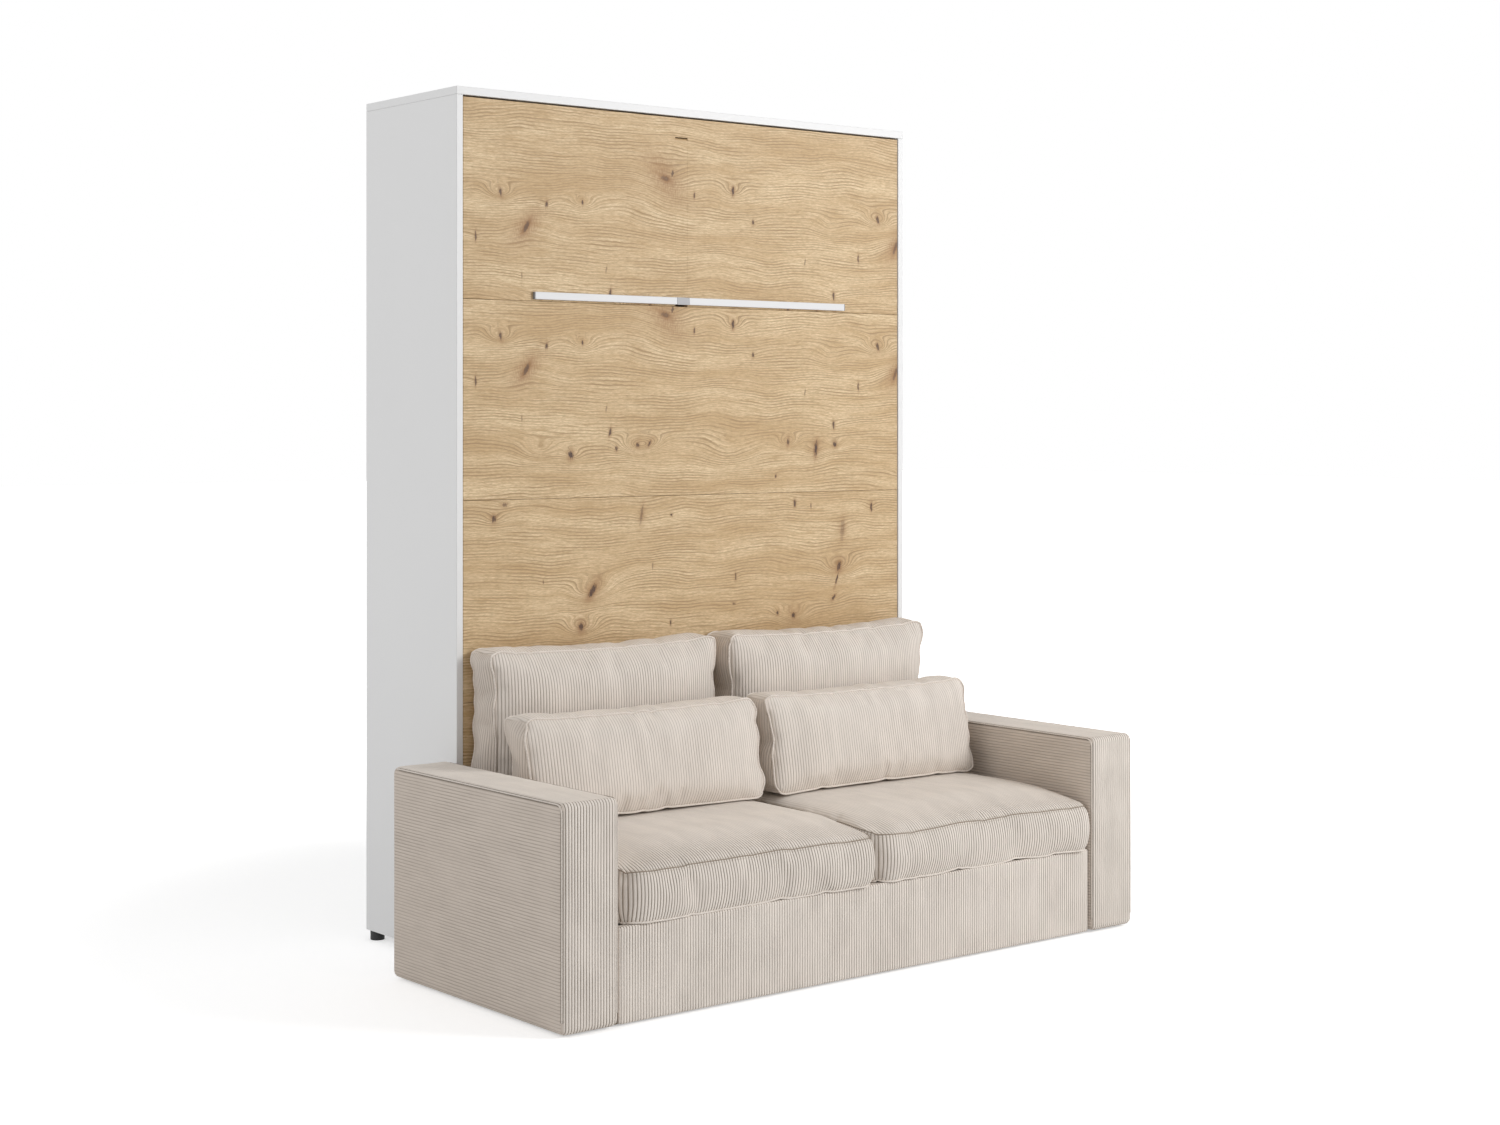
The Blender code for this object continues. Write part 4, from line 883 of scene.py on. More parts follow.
def tube_mesh(name, paths, radius, closed=False, sides=2):
    """Make round tubes along paths, as one mesh."""
    curve = bpy.data.curves.new(name, "CURVE")
    curve.dimensions = "3D"
    curve.bevel_depth = radius
    curve.bevel_resolution = sides
    curve.use_fill_caps = True
    for path in paths:
        spline = curve.splines.new("POLY")
        spline.points.add(len(path) - 1)
        for point, spot in zip(spline.points, path):
            point.co = (*spot, 1.0)
        spline.use_cyclic_u = closed
    holder = bpy.data.objects.new(name, curve)
    bpy.context.scene.collection.objects.link(holder)
    bpy.context.view_layer.update()
    graph = bpy.context.evaluated_depsgraph_get()
    mesh = bpy.data.meshes.new_from_object(holder.evaluated_get(graph), depsgraph=graph)
    bpy.data.objects.remove(holder, do_unlink=True)
    bpy.data.curves.remove(curve)
    work = bmesh.new()
    work.from_mesh(mesh)
    bmesh.ops.remove_doubles(work, verts=work.verts, dist=WELD / 10)
    bmesh.ops.recalc_face_normals(work, faces=work.faces)
    work.to_mesh(mesh)
    work.free()
    return mesh


def stitches(path, length):
    """Cut a closed path into single stitches."""
    path = path + path[:1]
    step = length * (1 + STITCH_GAP) / 4
    points = [path[0].copy()]
    left = step
    for a, b in zip(path, path[1:]):
        run = (b - a).length
        done = 0.0
        while run - done >= left:
            done += left
            points.append(a.lerp(b, done / run))
            left = step
        left -= run - done
    last = 4 / (1 + STITCH_GAP) - 3
    return [[points[i], points[i + 2], points[i + 3].lerp(points[i + 4], last)]
            for i in range(0, len(points) - 4, 4)]


def welt(name, seam, radius, material, body, sink):
    """Lay a welt over a seam, sunk into the cloth by a share of its radius."""
    path = [spot + normal * radius * (1 - sink) for spot, normal in seam]
    mesh = tube_mesh(name, [path], radius, closed=True)
    add_mesh(name, mesh, material, body)


def stitched_lines(name, piece, seam, aims, sizes, thread, body):
    """Sew a line beside a seam, on the surface, for each aim, which turns a point into a way."""
    tree = BVHTree.FromPolygons([v.co for v in piece.data.vertices],
                                [tuple(p.vertices) for p in piece.data.polygons])
    rows = []
    for aim in aims:
        line = []
        for spot, _ in seam:
            near, up, _, _ = tree.find_nearest(spot + aim(spot) * sizes.stitch_offset)
            line.append(near + up * THREAD_LIFT)
        rows += stitches(line, sizes.stitch_length)
    mesh = tube_mesh(name, rows, sizes.thread_radius, sides=0)
    add_mesh(name, mesh, thread, body)


def seen_itself(net):
    """1 for rays that show the thing itself, in a reflection or through glass too, else 0."""
    rays = net.add("ShaderNodeLightPath").outputs
    seen = net.math("MAXIMUM", rays["Is Camera Ray"], rays["Is Glossy Ray"])
    return net.math("MAXIMUM", seen, rays["Is Transmission Ray"])


class StageOperator(bpy.types.Operator):
    """Set the floor, the soft light and the camera."""

    bl_idname = "wall_bed.stage"
    bl_label = "Stage"

    def execute(self, context):
        """Build the stage."""
        scene = context.scene
        scene.view_settings.view_transform = "Standard"
        work = bmesh.new()
        bmesh.ops.create_grid(work, x_segments=1, y_segments=1, size=FLOOR_SIZE)
        add_piece("floor", work, self.floor_finish(chosen(context)[1]), smooth=False)
        self.set_world(scene)
        self.set_lamps(scene)
        self.set_camera(scene)
        return {"FINISHED"}

    def floor_finish(self, colours):
        """Pale ground that brightens to the white round it away from the furniture."""
        def build(net):
            drift = net.noise(here(net), 0.6, 2.0)
            return {"Base Color": net.mix(drift, tinted(colours.backdrop, 0.99), colours.backdrop)}
        pale = finish("pale_floor", build, Roughness=0.9, Specular_IOR_Level=0.1)
        nodes = pale.node_tree.nodes
        net = Net(pale.node_tree)
        glow = net.add("ShaderNodeEmission")
        # The glow is weaker near the furniture, so that its soft shadow shows there.
        far = net.vector("LENGTH", here(net))
        strength = net.times(seen_itself(net), net.ramp(far, 1.5, 3.4, 0.45, 1.0))
        net.feed(glow.inputs["Strength"], strength)
        total = net.add("ShaderNodeAddShader")
        net.feed(total.inputs[0], nodes["Principled BSDF"].outputs[0])
        net.feed(total.inputs[1], glow.outputs[0])
        net.feed(nodes["Material Output"].inputs["Surface"], total.outputs[0])
        return pale

    def set_world(self, scene):
        """White round the camera, and soft light from all sides."""
        world = bpy.data.worlds.new("studio")
        scene.world = world
        world.use_nodes = True
        net = Net(world.node_tree)
        back = world.node_tree.nodes["Background"]
        back.inputs["Color"].default_value = (1.0, 1.0, 1.0, 1.0)
        net.feed(back.inputs["Strength"], net.ramp(seen_itself(net), 0.0, 1.0, 0.48, 1.0))

    def set_lamps(self, scene):
        """A large soft lamp in front on the right, and a weak one on the left."""
        aim = Vector((0.0, 0.0, 0.9))
        for name, place, size, power in (("key_lamp", (3.6, -5.0, 3.4), 2.2, 215.0),
                                         ("left_lamp", (-5.2, 0.9, 3.2), 3.0, 60.0)):
            data = bpy.data.lights.new(name, "AREA")
            data.size = size
            data.energy = power
            lamp = bpy.data.objects.new(name, data)
            lamp.location = place
            lamp.rotation_euler = (Vector(place) - aim).to_track_quat("Z", "Y").to_euler()
            scene.collection.objects.link(lamp)

    def set_camera(self, scene):
        """The photograph's own view, with upright lines kept upright."""
        data = bpy.data.cameras.new("camera")
        data.sensor_width = SENSOR_WIDTH
        data.lens = FOCAL_PIXELS / PHOTO_WIDTH * SENSOR_WIDTH
        data.shift_y = -HORIZON_RISE / PHOTO_WIDTH
        camera = bpy.data.objects.new("camera", data)
        camera.location = CAMERA_PLACE
        camera.rotation_euler = (math.radians(90), 0.0, math.radians(CAMERA_TURN))
        scene.collection.objects.link(camera)
        scene.camera = camera


def screw_heads(name, spots, radius, material, body):
    """Screw heads with a sunk drive. Each spot is a place and the way it faces."""
    work = bmesh.new()
    for place, facing in spots:
        turn = Vector((0, 0, 1)).rotation_difference(Vector(facing)).to_matrix().to_4x4()
        spot = Matrix.Translation(Vector(place)) @ turn
        made = bmesh.ops.create_cone(work, cap_ends=True, segments=16, radius1=radius,
                                     radius2=radius * 0.8, depth=radius * 0.35,
                                     matrix=spot @ Matrix.Translation((0, 0, radius * 0.17)))
        top = [f for v in made["verts"] for f in v.link_faces]
        top = max(set(top), key=lambda f: f.calc_center_median().dot(Vector(facing)))
        inset = bmesh.ops.inset_region(work, faces=[top], thickness=radius * 0.42)
        if inset["faces"]:
            bmesh.ops.translate(work, verts=top.verts, vec=Vector(facing) * -radius * 0.3)
    return add_piece(name, work, material, body, smooth=False)


def plate_screws(low, high, side, places):
    """Screws on the inner face of a plate that is fixed to a side panel."""
    inner = high.x - PLATE if side > 0 else low.x + PLATE
    return [((inner, y, z), (-side, 0, 0)) for y, z in places]


class CabinetOperator(bpy.types.Operator):
    """Finish the white cabinet and its fittings."""

    bl_idname = "wall_bed.cabinet"
    bl_label = "Cabinet"

    def execute(self, context):
        """Paint the boards and add the screws."""
        _, colours = chosen(context)
        steel = steel_finish(colours)
        rubber = speckled("bumper_rubber", display(46, 46, 47), rough=0.80, tone=0.08,
                          peel=0.00010, scale=1200.0)
        paint(laminate_finish(colours), *both("side_panel"), "top_panel", "plinth_board",
              "upper_tie_board", "lower_tie_board")
        paint(steel, *both("wall_bracket"), *both("pivot_plate"), *both("strut_anchor"))
        paint(black_finish(), *both("cabinet_foot_front"), *both("cabinet_foot_rear"))
        paint(rubber, *both("closing_bumper"))
        spots = []
        for label, side in SIDES:
            low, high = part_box("wall_bracket_" + label)
            for x in (low.x + 0.015, high.x - 0.015):
                spots.append(((x, low.y + 0.020, high.z - BRACKET), (0, 0, -1)))
                spots.append(((x, high.y - BRACKET, low.z + 0.018), (0, -1, 0)))
            low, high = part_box("pivot_plate_" + label)
            spots += plate_screws(low, high, side, [(y, z) for y in (0.195, 0.222)
                                                    for z in (low.z + 0.030, high.z - 0.014)])
            low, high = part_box("strut_anchor_" + label)
            spots += plate_screws(low, high, side, [(y, z) for y in (low.y + 0.009, high.y - 0.009)
                                                    for z in (low.z + 0.009, high.z - 0.009)])
        screw_heads("cabinet_screws", spots, 0.0042, steel, "fixed_unit")
        return {"FINISHED"}


class FrontOperator(bpy.types.Operator):
    """Finish the oak boards of the front."""

    bl_idname = "wall_bed.front"
    bl_label = "Oak front"

    def execute(self, context):
        """Paint each board with its own part of the decor."""
        _, colours = chosen(context)
        for number in range(1, len(BOARDS) + 1):
            paint(oak_finish(colours, number), "front_board_%d" % number)
        return {"FINISHED"}


class LegOperator(bpy.types.Operator):
    """Finish the folding leg, whose bar is the long handle."""

    bl_idname = "wall_bed.leg"
    bl_label = "Leg and bar"

    def execute(self, context):
        """Paint the bar and its block, and cap the bar's ends."""
        _, colours = chosen(context)
        self.add_post(colours)
        white = speckled("white_bar", colours.bar, rough=0.34, tone=0.01, peel=0.00004,
                         scale=1500.0)
        grey = speckled("grey_plastic", colours.grey, rough=0.50, tone=0.04, peel=0.00006,
                        scale=1400.0)
        dark = speckled("bar_cap_plastic", display(120, 120, 123), rough=0.5, tone=0.05,
                        peel=0.00006, scale=1400.0)
        paint(white, *both("foot_bar"))
        paint(grey, "leg_block")
        paint(steel_finish(colours), "leg_hinge")
        thick = 0.0022
        work = bmesh.new()
        for label, side in SIDES:
            low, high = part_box("foot_bar_" + label)
            end = high.x if side > 0 else low.x
            add_block(work, (thick, high.y - low.y - 0.001, high.z - low.z - 0.0008),
                      (end + side * thick / 2, (low.y + high.y) / 2, (low.z + high.z) / 2))
        round_edges(work, radius=0.0006)
        add_piece("bar_end_caps", work, dark, "leg", smooth=False)
        return {"FINISHED"}

    def add_post(self, colours):
        """The post that lies in the top board, cut to fill its slot more closely."""
        low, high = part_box("leg_post")
        reach = (high.y - low.y) / 2 - 0.0001
        middle, hinge = (low.y + high.y) / 2, high.z - (high.y - low.y) / 2
        steps, proud = 14, 0.0003
        angles = [math.pi * i / steps for i in range(steps + 1)]
        rim = [(middle + reach * math.cos(a), hinge + reach * math.sin(a)) for a in angles]
        rim += [(low.y, low.z), (high.y, low.z)]
        work = bmesh.new()
        extrude(work, [(low.x - proud, y, z) for y, z in rim], (high.x - low.x + 2 * proud, 0, 0))
        piece = add_piece("leg_post_board", work, oak_finish(colours, 1), "leg",
                          smooth=False)
        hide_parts("leg_post")


class BedFrameOperator(bpy.types.Operator):
    """Finish the steel frame, the slats, the hubs and the gas struts."""

    bl_idname = "wall_bed.bed_frame"
    bl_label = "Frame, slats and struts"

    def execute(self, context):
        """Paint the frame, and add the slat holders and the screws."""
        _, colours = chosen(context)
        steel = steel_finish(colours)
        painted = speckled("painted_frame", colours.painted, rough=0.46, tone=0.06, peel=0.00008,
                           scale=1200.0, Metallic=0.2)
        cylinder = speckled("strut_paint", display(36, 37, 39), rough=0.30, tone=0.05,
                            peel=0.00003, scale=1500.0)
        rod = speckled("polished_rod", display(214, 216, 219), rough=0.14, tone=0.03, peel=0.00001,
                       scale=1800.0, Metallic=1.0)
        paint(painted, *both("frame_rail"), "frame_rail_head", "frame_rail_foot", "centre_beam",
              "mattress_stop")
        paint(steel, *both("bed_hub"))
        paint(cylinder, *both("strut_cylinder"))
        paint(rod, *both("strut_rod"))
        paint(plain_wood("birch_slat", colours.birch, 0.011), "slatted_base")
        low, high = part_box("slatted_base")
        rail_low, rail_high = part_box("frame_rail_left")
        inset, holder = 0.045, (0.030, 0.0022, 0.066)
        first, last = rail_low.z + inset, rail_high.z - inset
        work = bmesh.new()
        spots = []
        for i in range(SLATS):
            z = first + (last - first) * i / (SLATS - 1)
            for end, side in ((low.x, -1), (high.x, 1)):
                add_block(work, holder, (end - side * 0.013, low.y + 0.0091, z))
                spots.append(((end - side * 0.016, low.y + 0.0101, z), (0, 1, 0)))
        round_edges(work, radius=0.0008)
        add_piece("slat_holders", work, black_finish(), "bed", smooth=False)
        screw_heads("frame_screws", spots, 0.0036, steel, "bed")
        return {"FINISHED"}


def block_place(low, high, edge, cells, ring):
    """Place the points of a cut cube as a block, whose edges take the outer rings of cells."""
    middle = (low + high) / 2
    half = (high - low) / 2

    def along(value, axis):
        share = 2 * ring / cells[axis]
        inner = half[axis] - edge[axis]
        reach = abs(value)
        if reach <= 1 - share:
            return math.copysign(inner * reach / (1 - share), value), 0.0
        return math.copysign(inner, value), math.copysign((reach - 1 + share) / share, value)

    def place(*spot):
        parts = [along(value, axis) for axis, value in enumerate(spot)]
        turn = Vector([math.tan(math.radians(45) * bend) for _, bend in parts]).normalized()
        rounded = [flat + edge[axis] * turn[axis] for axis, (flat, _) in enumerate(parts)]
        return middle + Vector(rounded)
    return place


class MattressOperator(bpy.types.Operator):
    """Make the mattress and finish the straps that hold it."""

    bl_idname = "wall_bed.mattress"
    bl_label = "Mattress"

    def execute(self, context):
        """Build the quilted mattress with its piping."""
        sizes, colours = chosen(context)
        low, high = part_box("mattress")
        cells = (56, 12, 72)
        inset = Vector((0.0015, 0.0, 0.0015))
        form = block_place(low + inset, high - inset, (0.030, 0.022, 0.030), cells, MATTRESS_RING)

        def place(u, v, w):
            spot = form(u, v, w)
            side = 1 - min(1.0, abs(v)) ** 2
            spot.x -= math.copysign(0.004, u) * side * abs(u) ** 8
            return spot
        work = grid_block(cells)
        for edge in work.edges:
            edge.seam = on_rim(edge, cells)
        shape_grid(work, place, even_pile)
        piece = add_piece("mattress_pad", work, cover_finish(colours, sizes))
        paths = [[spot + normal * 0.0006 for spot, normal in seam]
                 for seam in seam_loops(piece.data)]
        stand_for(piece, "mattress", "bed")
        piping = thread_and_shadow_finish("mattress_piping", tinted(colours.cover, 0.75))
        mesh = tube_mesh("mattress_piping", paths, 0.0032, closed=True)
        add_mesh("mattress_piping", mesh, piping, "bed")
        paint(strap_finish(), "lower_mattress_strap", "upper_mattress_strap")
        return {"FINISHED"}


def on_rim(edge, cells):
    """Tell whether an edge of the cut cube runs round the rim of a large face."""
    line = 1 - 2 * MATTRESS_RING / cells[1]
    a, b = (v.co for v in edge.verts)
    return (abs(abs(a.y) - line) < 0.5 / cells[1] and abs(a.y - b.y) < WELD
            and max(abs(a.x), abs(a.z)) > 1 - WELD and max(abs(b.x), abs(b.z)) > 1 - WELD)


class ArmsOperator(bpy.types.Operator):
    """Upholster the two arms."""

    bl_idname = "wall_bed.arms"
    bl_label = "Arms"

    def execute(self, context):
        """Build each arm with its felled seams."""
        sizes, colours = chosen(context)
        cloth = corduroy_finish(colours, sizes)
        cells = (24, 84, 62)
        edge = (0.018, 0.014, 0.017)
        for label, side in SIDES:
            low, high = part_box("arm_" + label)
            form = block_place(low, high, edge, cells, ARM_RING)
            seed = side * 3.1

            def place(u, v, w, form=form, seed=seed):
                spot = form(u, v, w)
                top, flank, front = max(0.0, w) ** 12, abs(u) ** 12, max(0.0, -v) ** 12
                spot.z -= top * (0.0012 + 0.0016 * rumple(spot, 18.0, seed) ** 2)
                fold = rumple((spot.x * 3, spot.y * 11, seed), 3.0, seed)
                spot.z -= 0.0022 * top * max(0.0, fold)
                spot.x -= math.copysign(flank, u) * 0.0012 * (1 + rumple(spot, 5.0, seed)) / 2
                spot.y += front * 0.0008 * (1 + rumple(spot, 7.0, seed)) / 2
                return spot
            work = grid_block(cells)
            shape_grid(work, place, self.pile)
            layer = work.loops.layers.uv.active
            for face in work.faces:
                if abs(face.normal.x) > 0.72:
                    for loop in face.loops:
                        loop[layer].uv = (loop.vert.co.z, loop.vert.co.y)
            piece = soften(add_piece("arm_%s_cover" % label, work, cloth))
            stand_for(piece, "arm_" + label, "fixed_unit")
            self.sew(label, low, high, edge[0], sizes, colours)
        paint(black_finish(), *both("arm_skid"))
        return {"FINISHED"}

    def pile(self, u, v, w):
        """Strong ribs in front, softer ones on the flanks and fainter ones on top, and painted
        shade on the flanks.
        """
        if at_end(u):
            # The flanks get full painted shade.
            return 0.6, 1.0
        return (0.35 if at_end(w) and v > -0.95 else 1.25), 0.0

    def sew(self, label, low, high, edge, sizes, colours):
        """Lay the felled seam along the top and down the front of each flank, with a thin line of
        painted shadow on either side.
        """
        step, fell, bends = 0.01, 0.0026, 6
        welts, lines = [], []
        for end, outer in ((-1, low.x), (1, high.x)):
            # The welt runs on the seam, and a line of painted shadow runs on either side of it.
            for lift, rows in ((0.0, welts), (fell, lines), (-fell, lines)):
                turn = math.radians(42) - lift / edge
                x = outer - end * edge * (1 - math.cos(turn))
                drop = edge * (1 - math.sin(turn))
                front, top = low.y + drop, high.z - drop
                path = [Vector((x, front, low.z + 0.03 + i * step)) for i in range(46)]
                path = [spot for spot in path if spot.z < top - edge]
                for i in range(bends + 1):
                    angle = math.radians(90 * i / bends)
                    path.append(Vector((x, front + edge * (1 - math.cos(angle)),
                                        top - edge * (1 - math.sin(angle)))))
                start = path[-1].y
                steps = int((high.y - 0.02 - start) / step)
                path += [Vector((x, start + (i + 1) * step, top)) for i in range(steps)]
                rows.append(path)
        mesh = tube_mesh("arm_welt", welts, sizes.welt_radius * 0.7)
        add_mesh("arm_%s_seam" % label, mesh, welt_finish(colours), "fixed_unit")
        # Painted shadow: thin dark tubes beside the seam stand for the shade on either side of its
        # raised band.
        thread = thread_and_shadow_finish("seam_shadow", tinted(colours.groove, 0.75))
        mesh = tube_mesh("arm_seam_shadow_lines", lines, sizes.thread_radius * 2.2, sides=1)
        add_mesh("arm_%s_thread" % label, mesh, thread, "fixed_unit")


class BaseOperator(bpy.types.Operator):
    """Upholster the base's front and finish the boards behind it."""

    bl_idname = "wall_bed.base"
    bl_label = "Base"

    def execute(self, context):
        """Build the covered front board and paint the rest."""
        sizes, colours = chosen(context)
        low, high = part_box("base_front")
        cells = (130, 8, 26)
        form = block_place(low, high, (0.005, 0.005, 0.006), cells, BASE_RING)

        def place(u, v, w):
            spot = form(u, v, w)
            spot.y += max(0.0, -v) ** 12 * 0.0008 * (1 + rumple(spot, 6.0, 5.3)) / 2
            return spot
        work = grid_block(cells)
        shape_grid(work, place, even_pile)
        piece = add_piece("base_front_cover", work, corduroy_finish(colours, sizes))
        stand_for(piece, "base_front", "fixed_unit")
        paint(plain_wood("pine_board", colours.pine, 0.010), "base_frame")
        deck = speckled("platform_cloth", display(74, 68, 61), rough=0.9, tone=0.10, peel=0.00012,
                        scale=700.0)
        paint(deck, "seat_deck")
        paint(steel_finish(colours), *both("sofa_plate"), "sofa_link")
        return {"FINISHED"}


def cell_counts(width, depth, height, cell):
    """Cut a cushion into even numbers of cells."""
    return tuple(max(6, 2 * round(size / cell / 2)) for size in (width, depth, height))


class SeatsOperator(bpy.types.Operator):
    """Make the two seat cushions."""

    bl_idname = "wall_bed.seats"
    bl_label = "Seat cushions"

    def execute(self, context):
        """Build, stuff and sew each seat cushion."""
        sizes, colours = chosen(context)
        cloth = corduroy_finish(colours, sizes)
        for label, side in SIDES:
            node = "seat_cushion_" + label
            low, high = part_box(node)
            half_x = (high.x - low.x) / 2 - SEAT_MARGIN[0]
            half_y = (high.y - low.y) / 2 - SEAT_MARGIN[1]
            centre = Vector(((low.x + high.x) / 2, (low.y + high.y) / 2, low.z))
            crown = high.z - low.z - SEAT_BOXING - 0.004

            def place(u, v, w, hx=half_x, hy=half_y, c=centre, s=4.0 + side, k=crown):
                # The top climbs from the front seam, and sinks towards the ends.
                go = min(1.0, (v + 1) / 0.75)
                rise = 1 - (1 - go) ** 2.3
                rise *= 1 - (0.42 - 0.20 * max(0.0, v)) * abs(u) ** 5
                inside = (1 - u ** 10) * (1 - v ** 10)
                lift = (w + 1) / 2
                height = lift * (SEAT_BOXING + k * rise)
                wave = rumple((u * 3.4, v * 3, 0), 1.0, s)
                sag = 0.0030 * wave * lift + 0.0100 * max(0.0, wave + 0.12) * (1 - lift)
                height += sag * (1 - inside)
                # The boxing swells, less at the corners, save the well stuffed front right one.
                swell = 0.013 * (1 - w * w)
                stuffed = u > 0 and v < 0
                drawn = 0.0 if stuffed else 1.0
                x = u * hx - 0.006 * (1 - v * v) * u ** 3 + swell * u ** 5 * (1 - drawn * v ** 4)
                y = v * hy - 0.005 * (1 - u * u) * v ** 3 + swell * v ** 5 * (1 - drawn * u ** 4)
                x, y = round_corner(x, y, hx, hy, 0.030 if stuffed else 0.078)
                return c + Vector((x, y, height))
            cells = cell_counts(2 * half_x, 2 * half_y, SEAT_BOXING, sizes.cell)
            piece = cushion_mesh("seat_%s_pad" % label, cells, place, cloth, self.pile)
            stuff(piece, sizes, floor=low.z + CLEAR, travel=0.008, shrink=-0.03)
            hold(piece, low, high, top=high.z - CLEAR)
            stand_for(soften(piece), node, "fixed_unit")
            self.sew(piece, "seat_" + label, sizes, colours)
        return {"FINISHED"}

    def pile(self, u, v, w):
        """The ribs stand out on the boxing and are sat flat on top."""
        top = at_end(w) and w > 0
        return 1.25 - 0.85 * top * min(1.0, 3 * (v + 1)), 0.0

    def sew(self, piece, label, sizes, colours):
        """Lay the welt below, and the seam above in a dark colour of painted shadow, with a
        stitched line on either side.
        """
        low, top = two_seams(piece, 2)
        radius = sizes.welt_radius
        # Painted shadow: the top welt takes a dark colour for the shade along the seam.
        shadow = thread_and_shadow_finish("seat_seam_shadow", tinted(colours.groove, 1.1))
        edging = welt_finish(colours)
        welt(label + "_low_welt", low, radius, edging, "fixed_unit", sink=0.9)
        welt(label + "_top_welt", top, radius * 0.5, shadow, "fixed_unit", sink=0.6)
        middle = middle_of(top)
        aims = (lambda spot: Vector((0, 0, -1)), lambda spot: (middle - spot).normalized())
        thread = thread_and_shadow_finish("corduroy_thread", colours.thread)
        stitched_lines(label + "_thread", piece, top, aims, sizes, thread, "fixed_unit")


class UprightMixin:
    """What the back and the lumbar cushions share."""

    def make(self, context):
        """Build, stuff and sew a pair of upright cushions."""
        sizes, colours = chosen(context)
        cloth = corduroy_finish(colours, sizes)
        boxing = self.boxing
        front_crown, rear_crown = self.front_crown - 0.007, self.rear_crown - 0.003
        for label, side in SIDES:
            node = "%s_cushion_%s" % (self.kind, label)
            low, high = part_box(node)
            half_x = (high.x - low.x) / 2 - UPRIGHT_MARGIN[0]
            half_z = (high.z - low.z) / 2 - UPRIGHT_MARGIN[1]
            centre = Vector(((low.x + high.x) / 2, high.y - self.rear_crown - boxing / 2,
                             (low.z + high.z) / 2))

            def place(u, v, w, hx=half_x, hz=half_z, c=centre, s=self.seed + side):
                # The front is full, and the rear is flatter.
                crown = (1 - u ** 4) * (1 - v ** 4)
                if w > 0:
                    y = -w * (boxing / 2 + front_crown * crown)
                else:
                    y = -w * (boxing / 2 + rear_crown * min(1.0, crown * 2))
                # The sides are drawn in between the corners, and the top corners stand up.
                swell = 0.009 * (1 - w * w)
                x = u * hx - self.waist * (1 - v * v) * u ** 3 + swell * u ** 5 * (1 - v ** 4)
                z = v * hz + swell * max(0.0, v) ** 5 * (1 - u ** 4)
                z -= self.ears * (1 - u ** 6) * max(0.0, v) ** 7
                x, z = round_corner(x, z, hx, hz, self.corner)
                # The seams wander, the boxing folds, and the whole may lean.
                edge = max(u ** 10, v ** 10)
                free = 1 if v > -0.9 else 0
                y += 0.0030 * rumple((u * 4, v * 3, w * 0.4), 1.1, s) * edge * free
                fold = max(-1.0, min(1.0, 2.4 * rumple((w * 0.5, v * 2.6, u), 1.0, s + 9)))
                x -= math.copysign(0.0075 * (1 + fold), u) * u ** 10 * (1 - 0.4 * w * w)
                y -= self.lean * (1 - v) / 2
                return c + Vector((x, y, z))
            cells = cell_counts(2 * half_x, 2 * half_z, boxing, sizes.cell)
            name, body = "%s_%s" % (self.kind, label), "cushions_" + label
            piece = cushion_mesh(name + "_pad", cells, place, cloth, self.pile)
            stuff(piece, sizes, floor=low.z + CLEAR, travel=self.travel, shrink=-0.035)
            hold(piece, low, high, rear=high.y if self.kind == "back" else math.inf)
            stand_for(soften(piece), node, body)
            self.sew(piece, name, body, sizes, colours)

    def pile(self, u, v, w):
        """The ribs fade towards the top, and the sides of the boxing are darkened as painted
        shade.
        """
        return self.rib_strength * (1 - 0.25 * max(0.0, v) ** 2), 0.7 if at_end(u) else 0.0

    def sew(self, piece, label, body, sizes, colours):
        """Lay the welts and the stitched line behind the front one."""
        front, rear = two_seams(piece, 1)
        radius, edging = sizes.welt_radius, welt_finish(colours)
        welt(label + "_front_welt", front, radius, edging, body, sink=0.5)
        welt(label + "_rear_welt", rear, radius * 0.8, edging, body, sink=0.7)
        thread = thread_and_shadow_finish("corduroy_thread", colours.thread)
        aims = (lambda spot: Vector((0, 1, 0)),)
        stitched_lines(label + "_thread", piece, front, aims, sizes, thread, body)


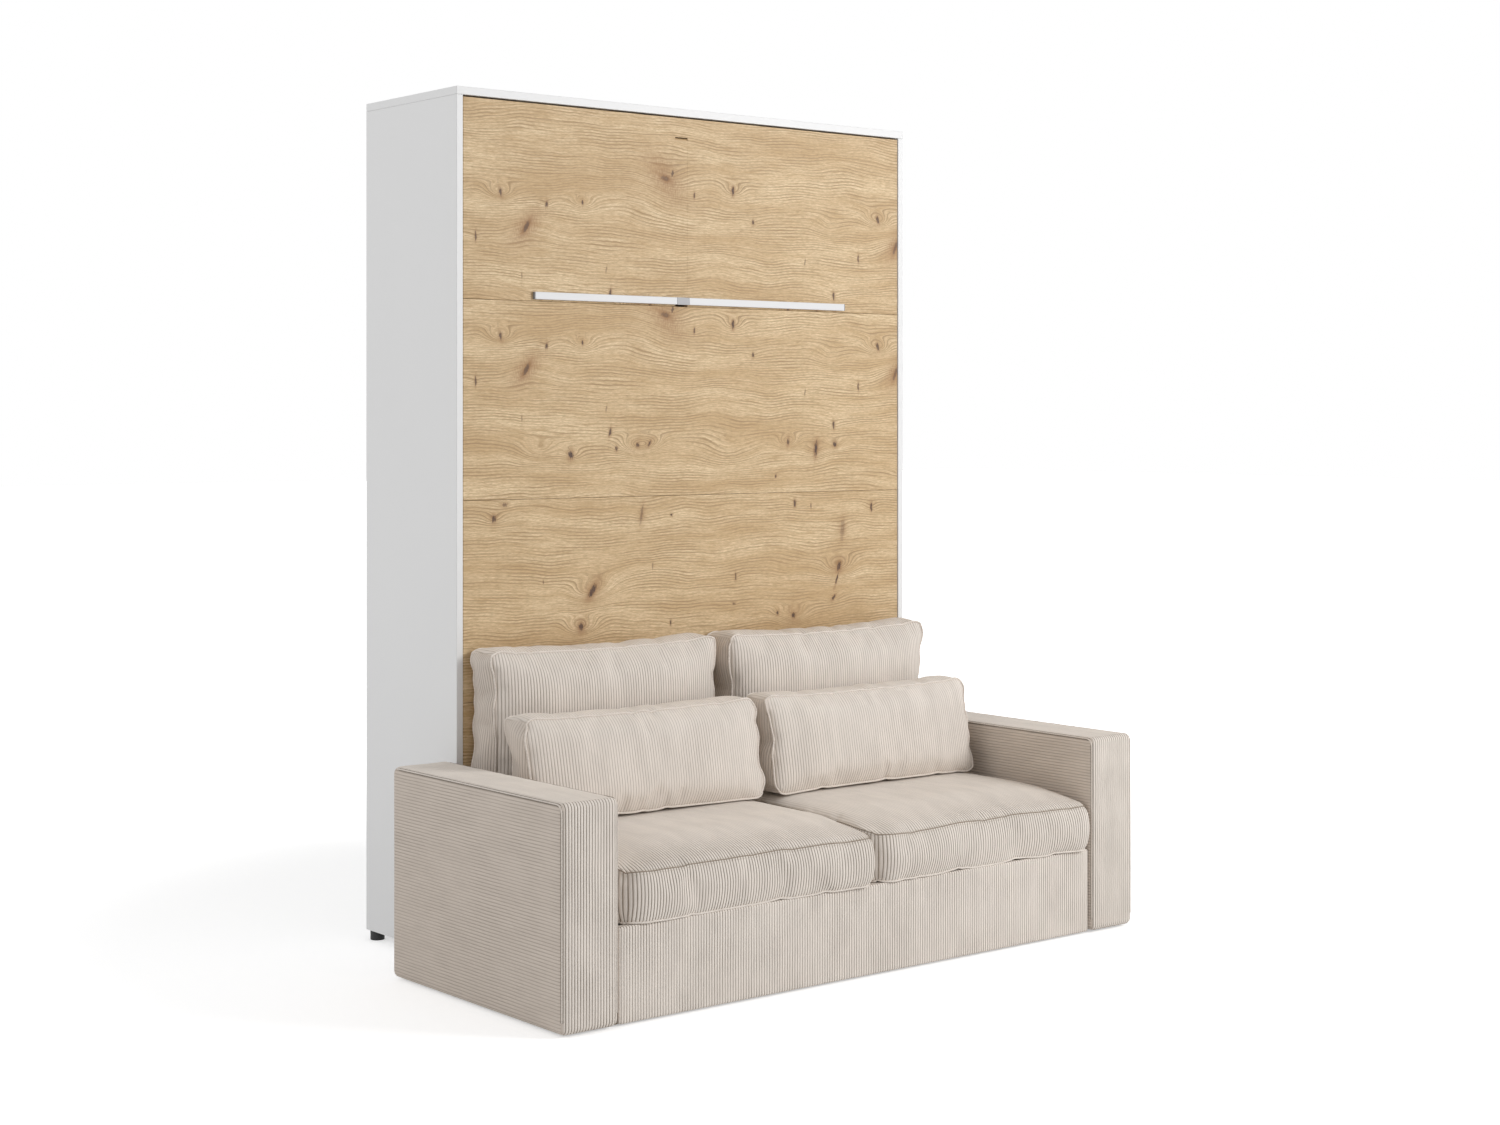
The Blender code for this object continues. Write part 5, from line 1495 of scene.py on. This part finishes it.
class BacksOperator(UprightMixin, bpy.types.Operator):
    """Make the two back cushions."""

    bl_idname = "wall_bed.backs"
    bl_label = "Back cushions"
    kind, seed, travel, rib_strength = "back", 11.0, 0.010, 0.92
    boxing, front_crown, rear_crown = 0.092, 0.055, 0.018
    waist, ears, lean, corner = 0.018, 0.012, 0.0, 0.052

    def execute(self, context):
        """Build the pair."""
        self.make(context)
        return {"FINISHED"}


class LumbarsOperator(UprightMixin, bpy.types.Operator):
    """Make the two lumbar cushions."""

    bl_idname = "wall_bed.lumbars"
    bl_label = "Lumbar cushions"
    kind, seed, travel, rib_strength = "lumbar", 23.0, 0.009, 0.65
    boxing, front_crown, rear_crown = 0.082, 0.034, 0.010
    waist, ears, lean, corner = 0.012, 0.006, 0.050, 0.044

    def execute(self, context):
        """Build the pair."""
        self.make(context)
        return {"FINISHED"}


OPERATORS = (StageOperator, CabinetOperator, FrontOperator, LegOperator, BedFrameOperator,
             MattressOperator, ArmsOperator, BaseOperator, SeatsOperator, BacksOperator,
             LumbarsOperator)


class WallBedPanel(bpy.types.Panel):
    """Lists the steps, the sizes and the colours."""

    bl_idname = "VIEW3D_PT_wall_bed"
    bl_label = "Wall Bed"
    bl_space_type = "VIEW_3D"
    bl_region_type = "UI"
    bl_category = "Wall Bed"

    def draw(self, context):
        """Draw the buttons and the values."""
        for kind in OPERATORS:
            self.layout.operator(kind.bl_idname)
        for values in (context.scene.wall_bed_sizes, context.scene.wall_bed_colours):
            for key in values.__annotations__:
                self.layout.prop(values, key)


CLASSES = (WallBedSizes, WallBedColours, *OPERATORS, WallBedPanel)


def register():
    """Register the classes and put the values on the scene."""
    for kind in CLASSES:
        bpy.utils.register_class(kind)
    bpy.types.Scene.wall_bed_sizes = PointerProperty(type=WallBedSizes)
    bpy.types.Scene.wall_bed_colours = PointerProperty(type=WallBedColours)


def unregister():
    """Take the values off the scene and unregister the classes."""
    del bpy.types.Scene.wall_bed_colours
    del bpy.types.Scene.wall_bed_sizes
    for kind in reversed(CLASSES):
        bpy.utils.unregister_class(kind)


def main():
    """Dress the model, one piece after another."""
    register()
    for kind in OPERATORS:
        group, name = kind.bl_idname.split(".")
        getattr(getattr(bpy.ops, group), name)()


if __name__ == "__main__":
    main()
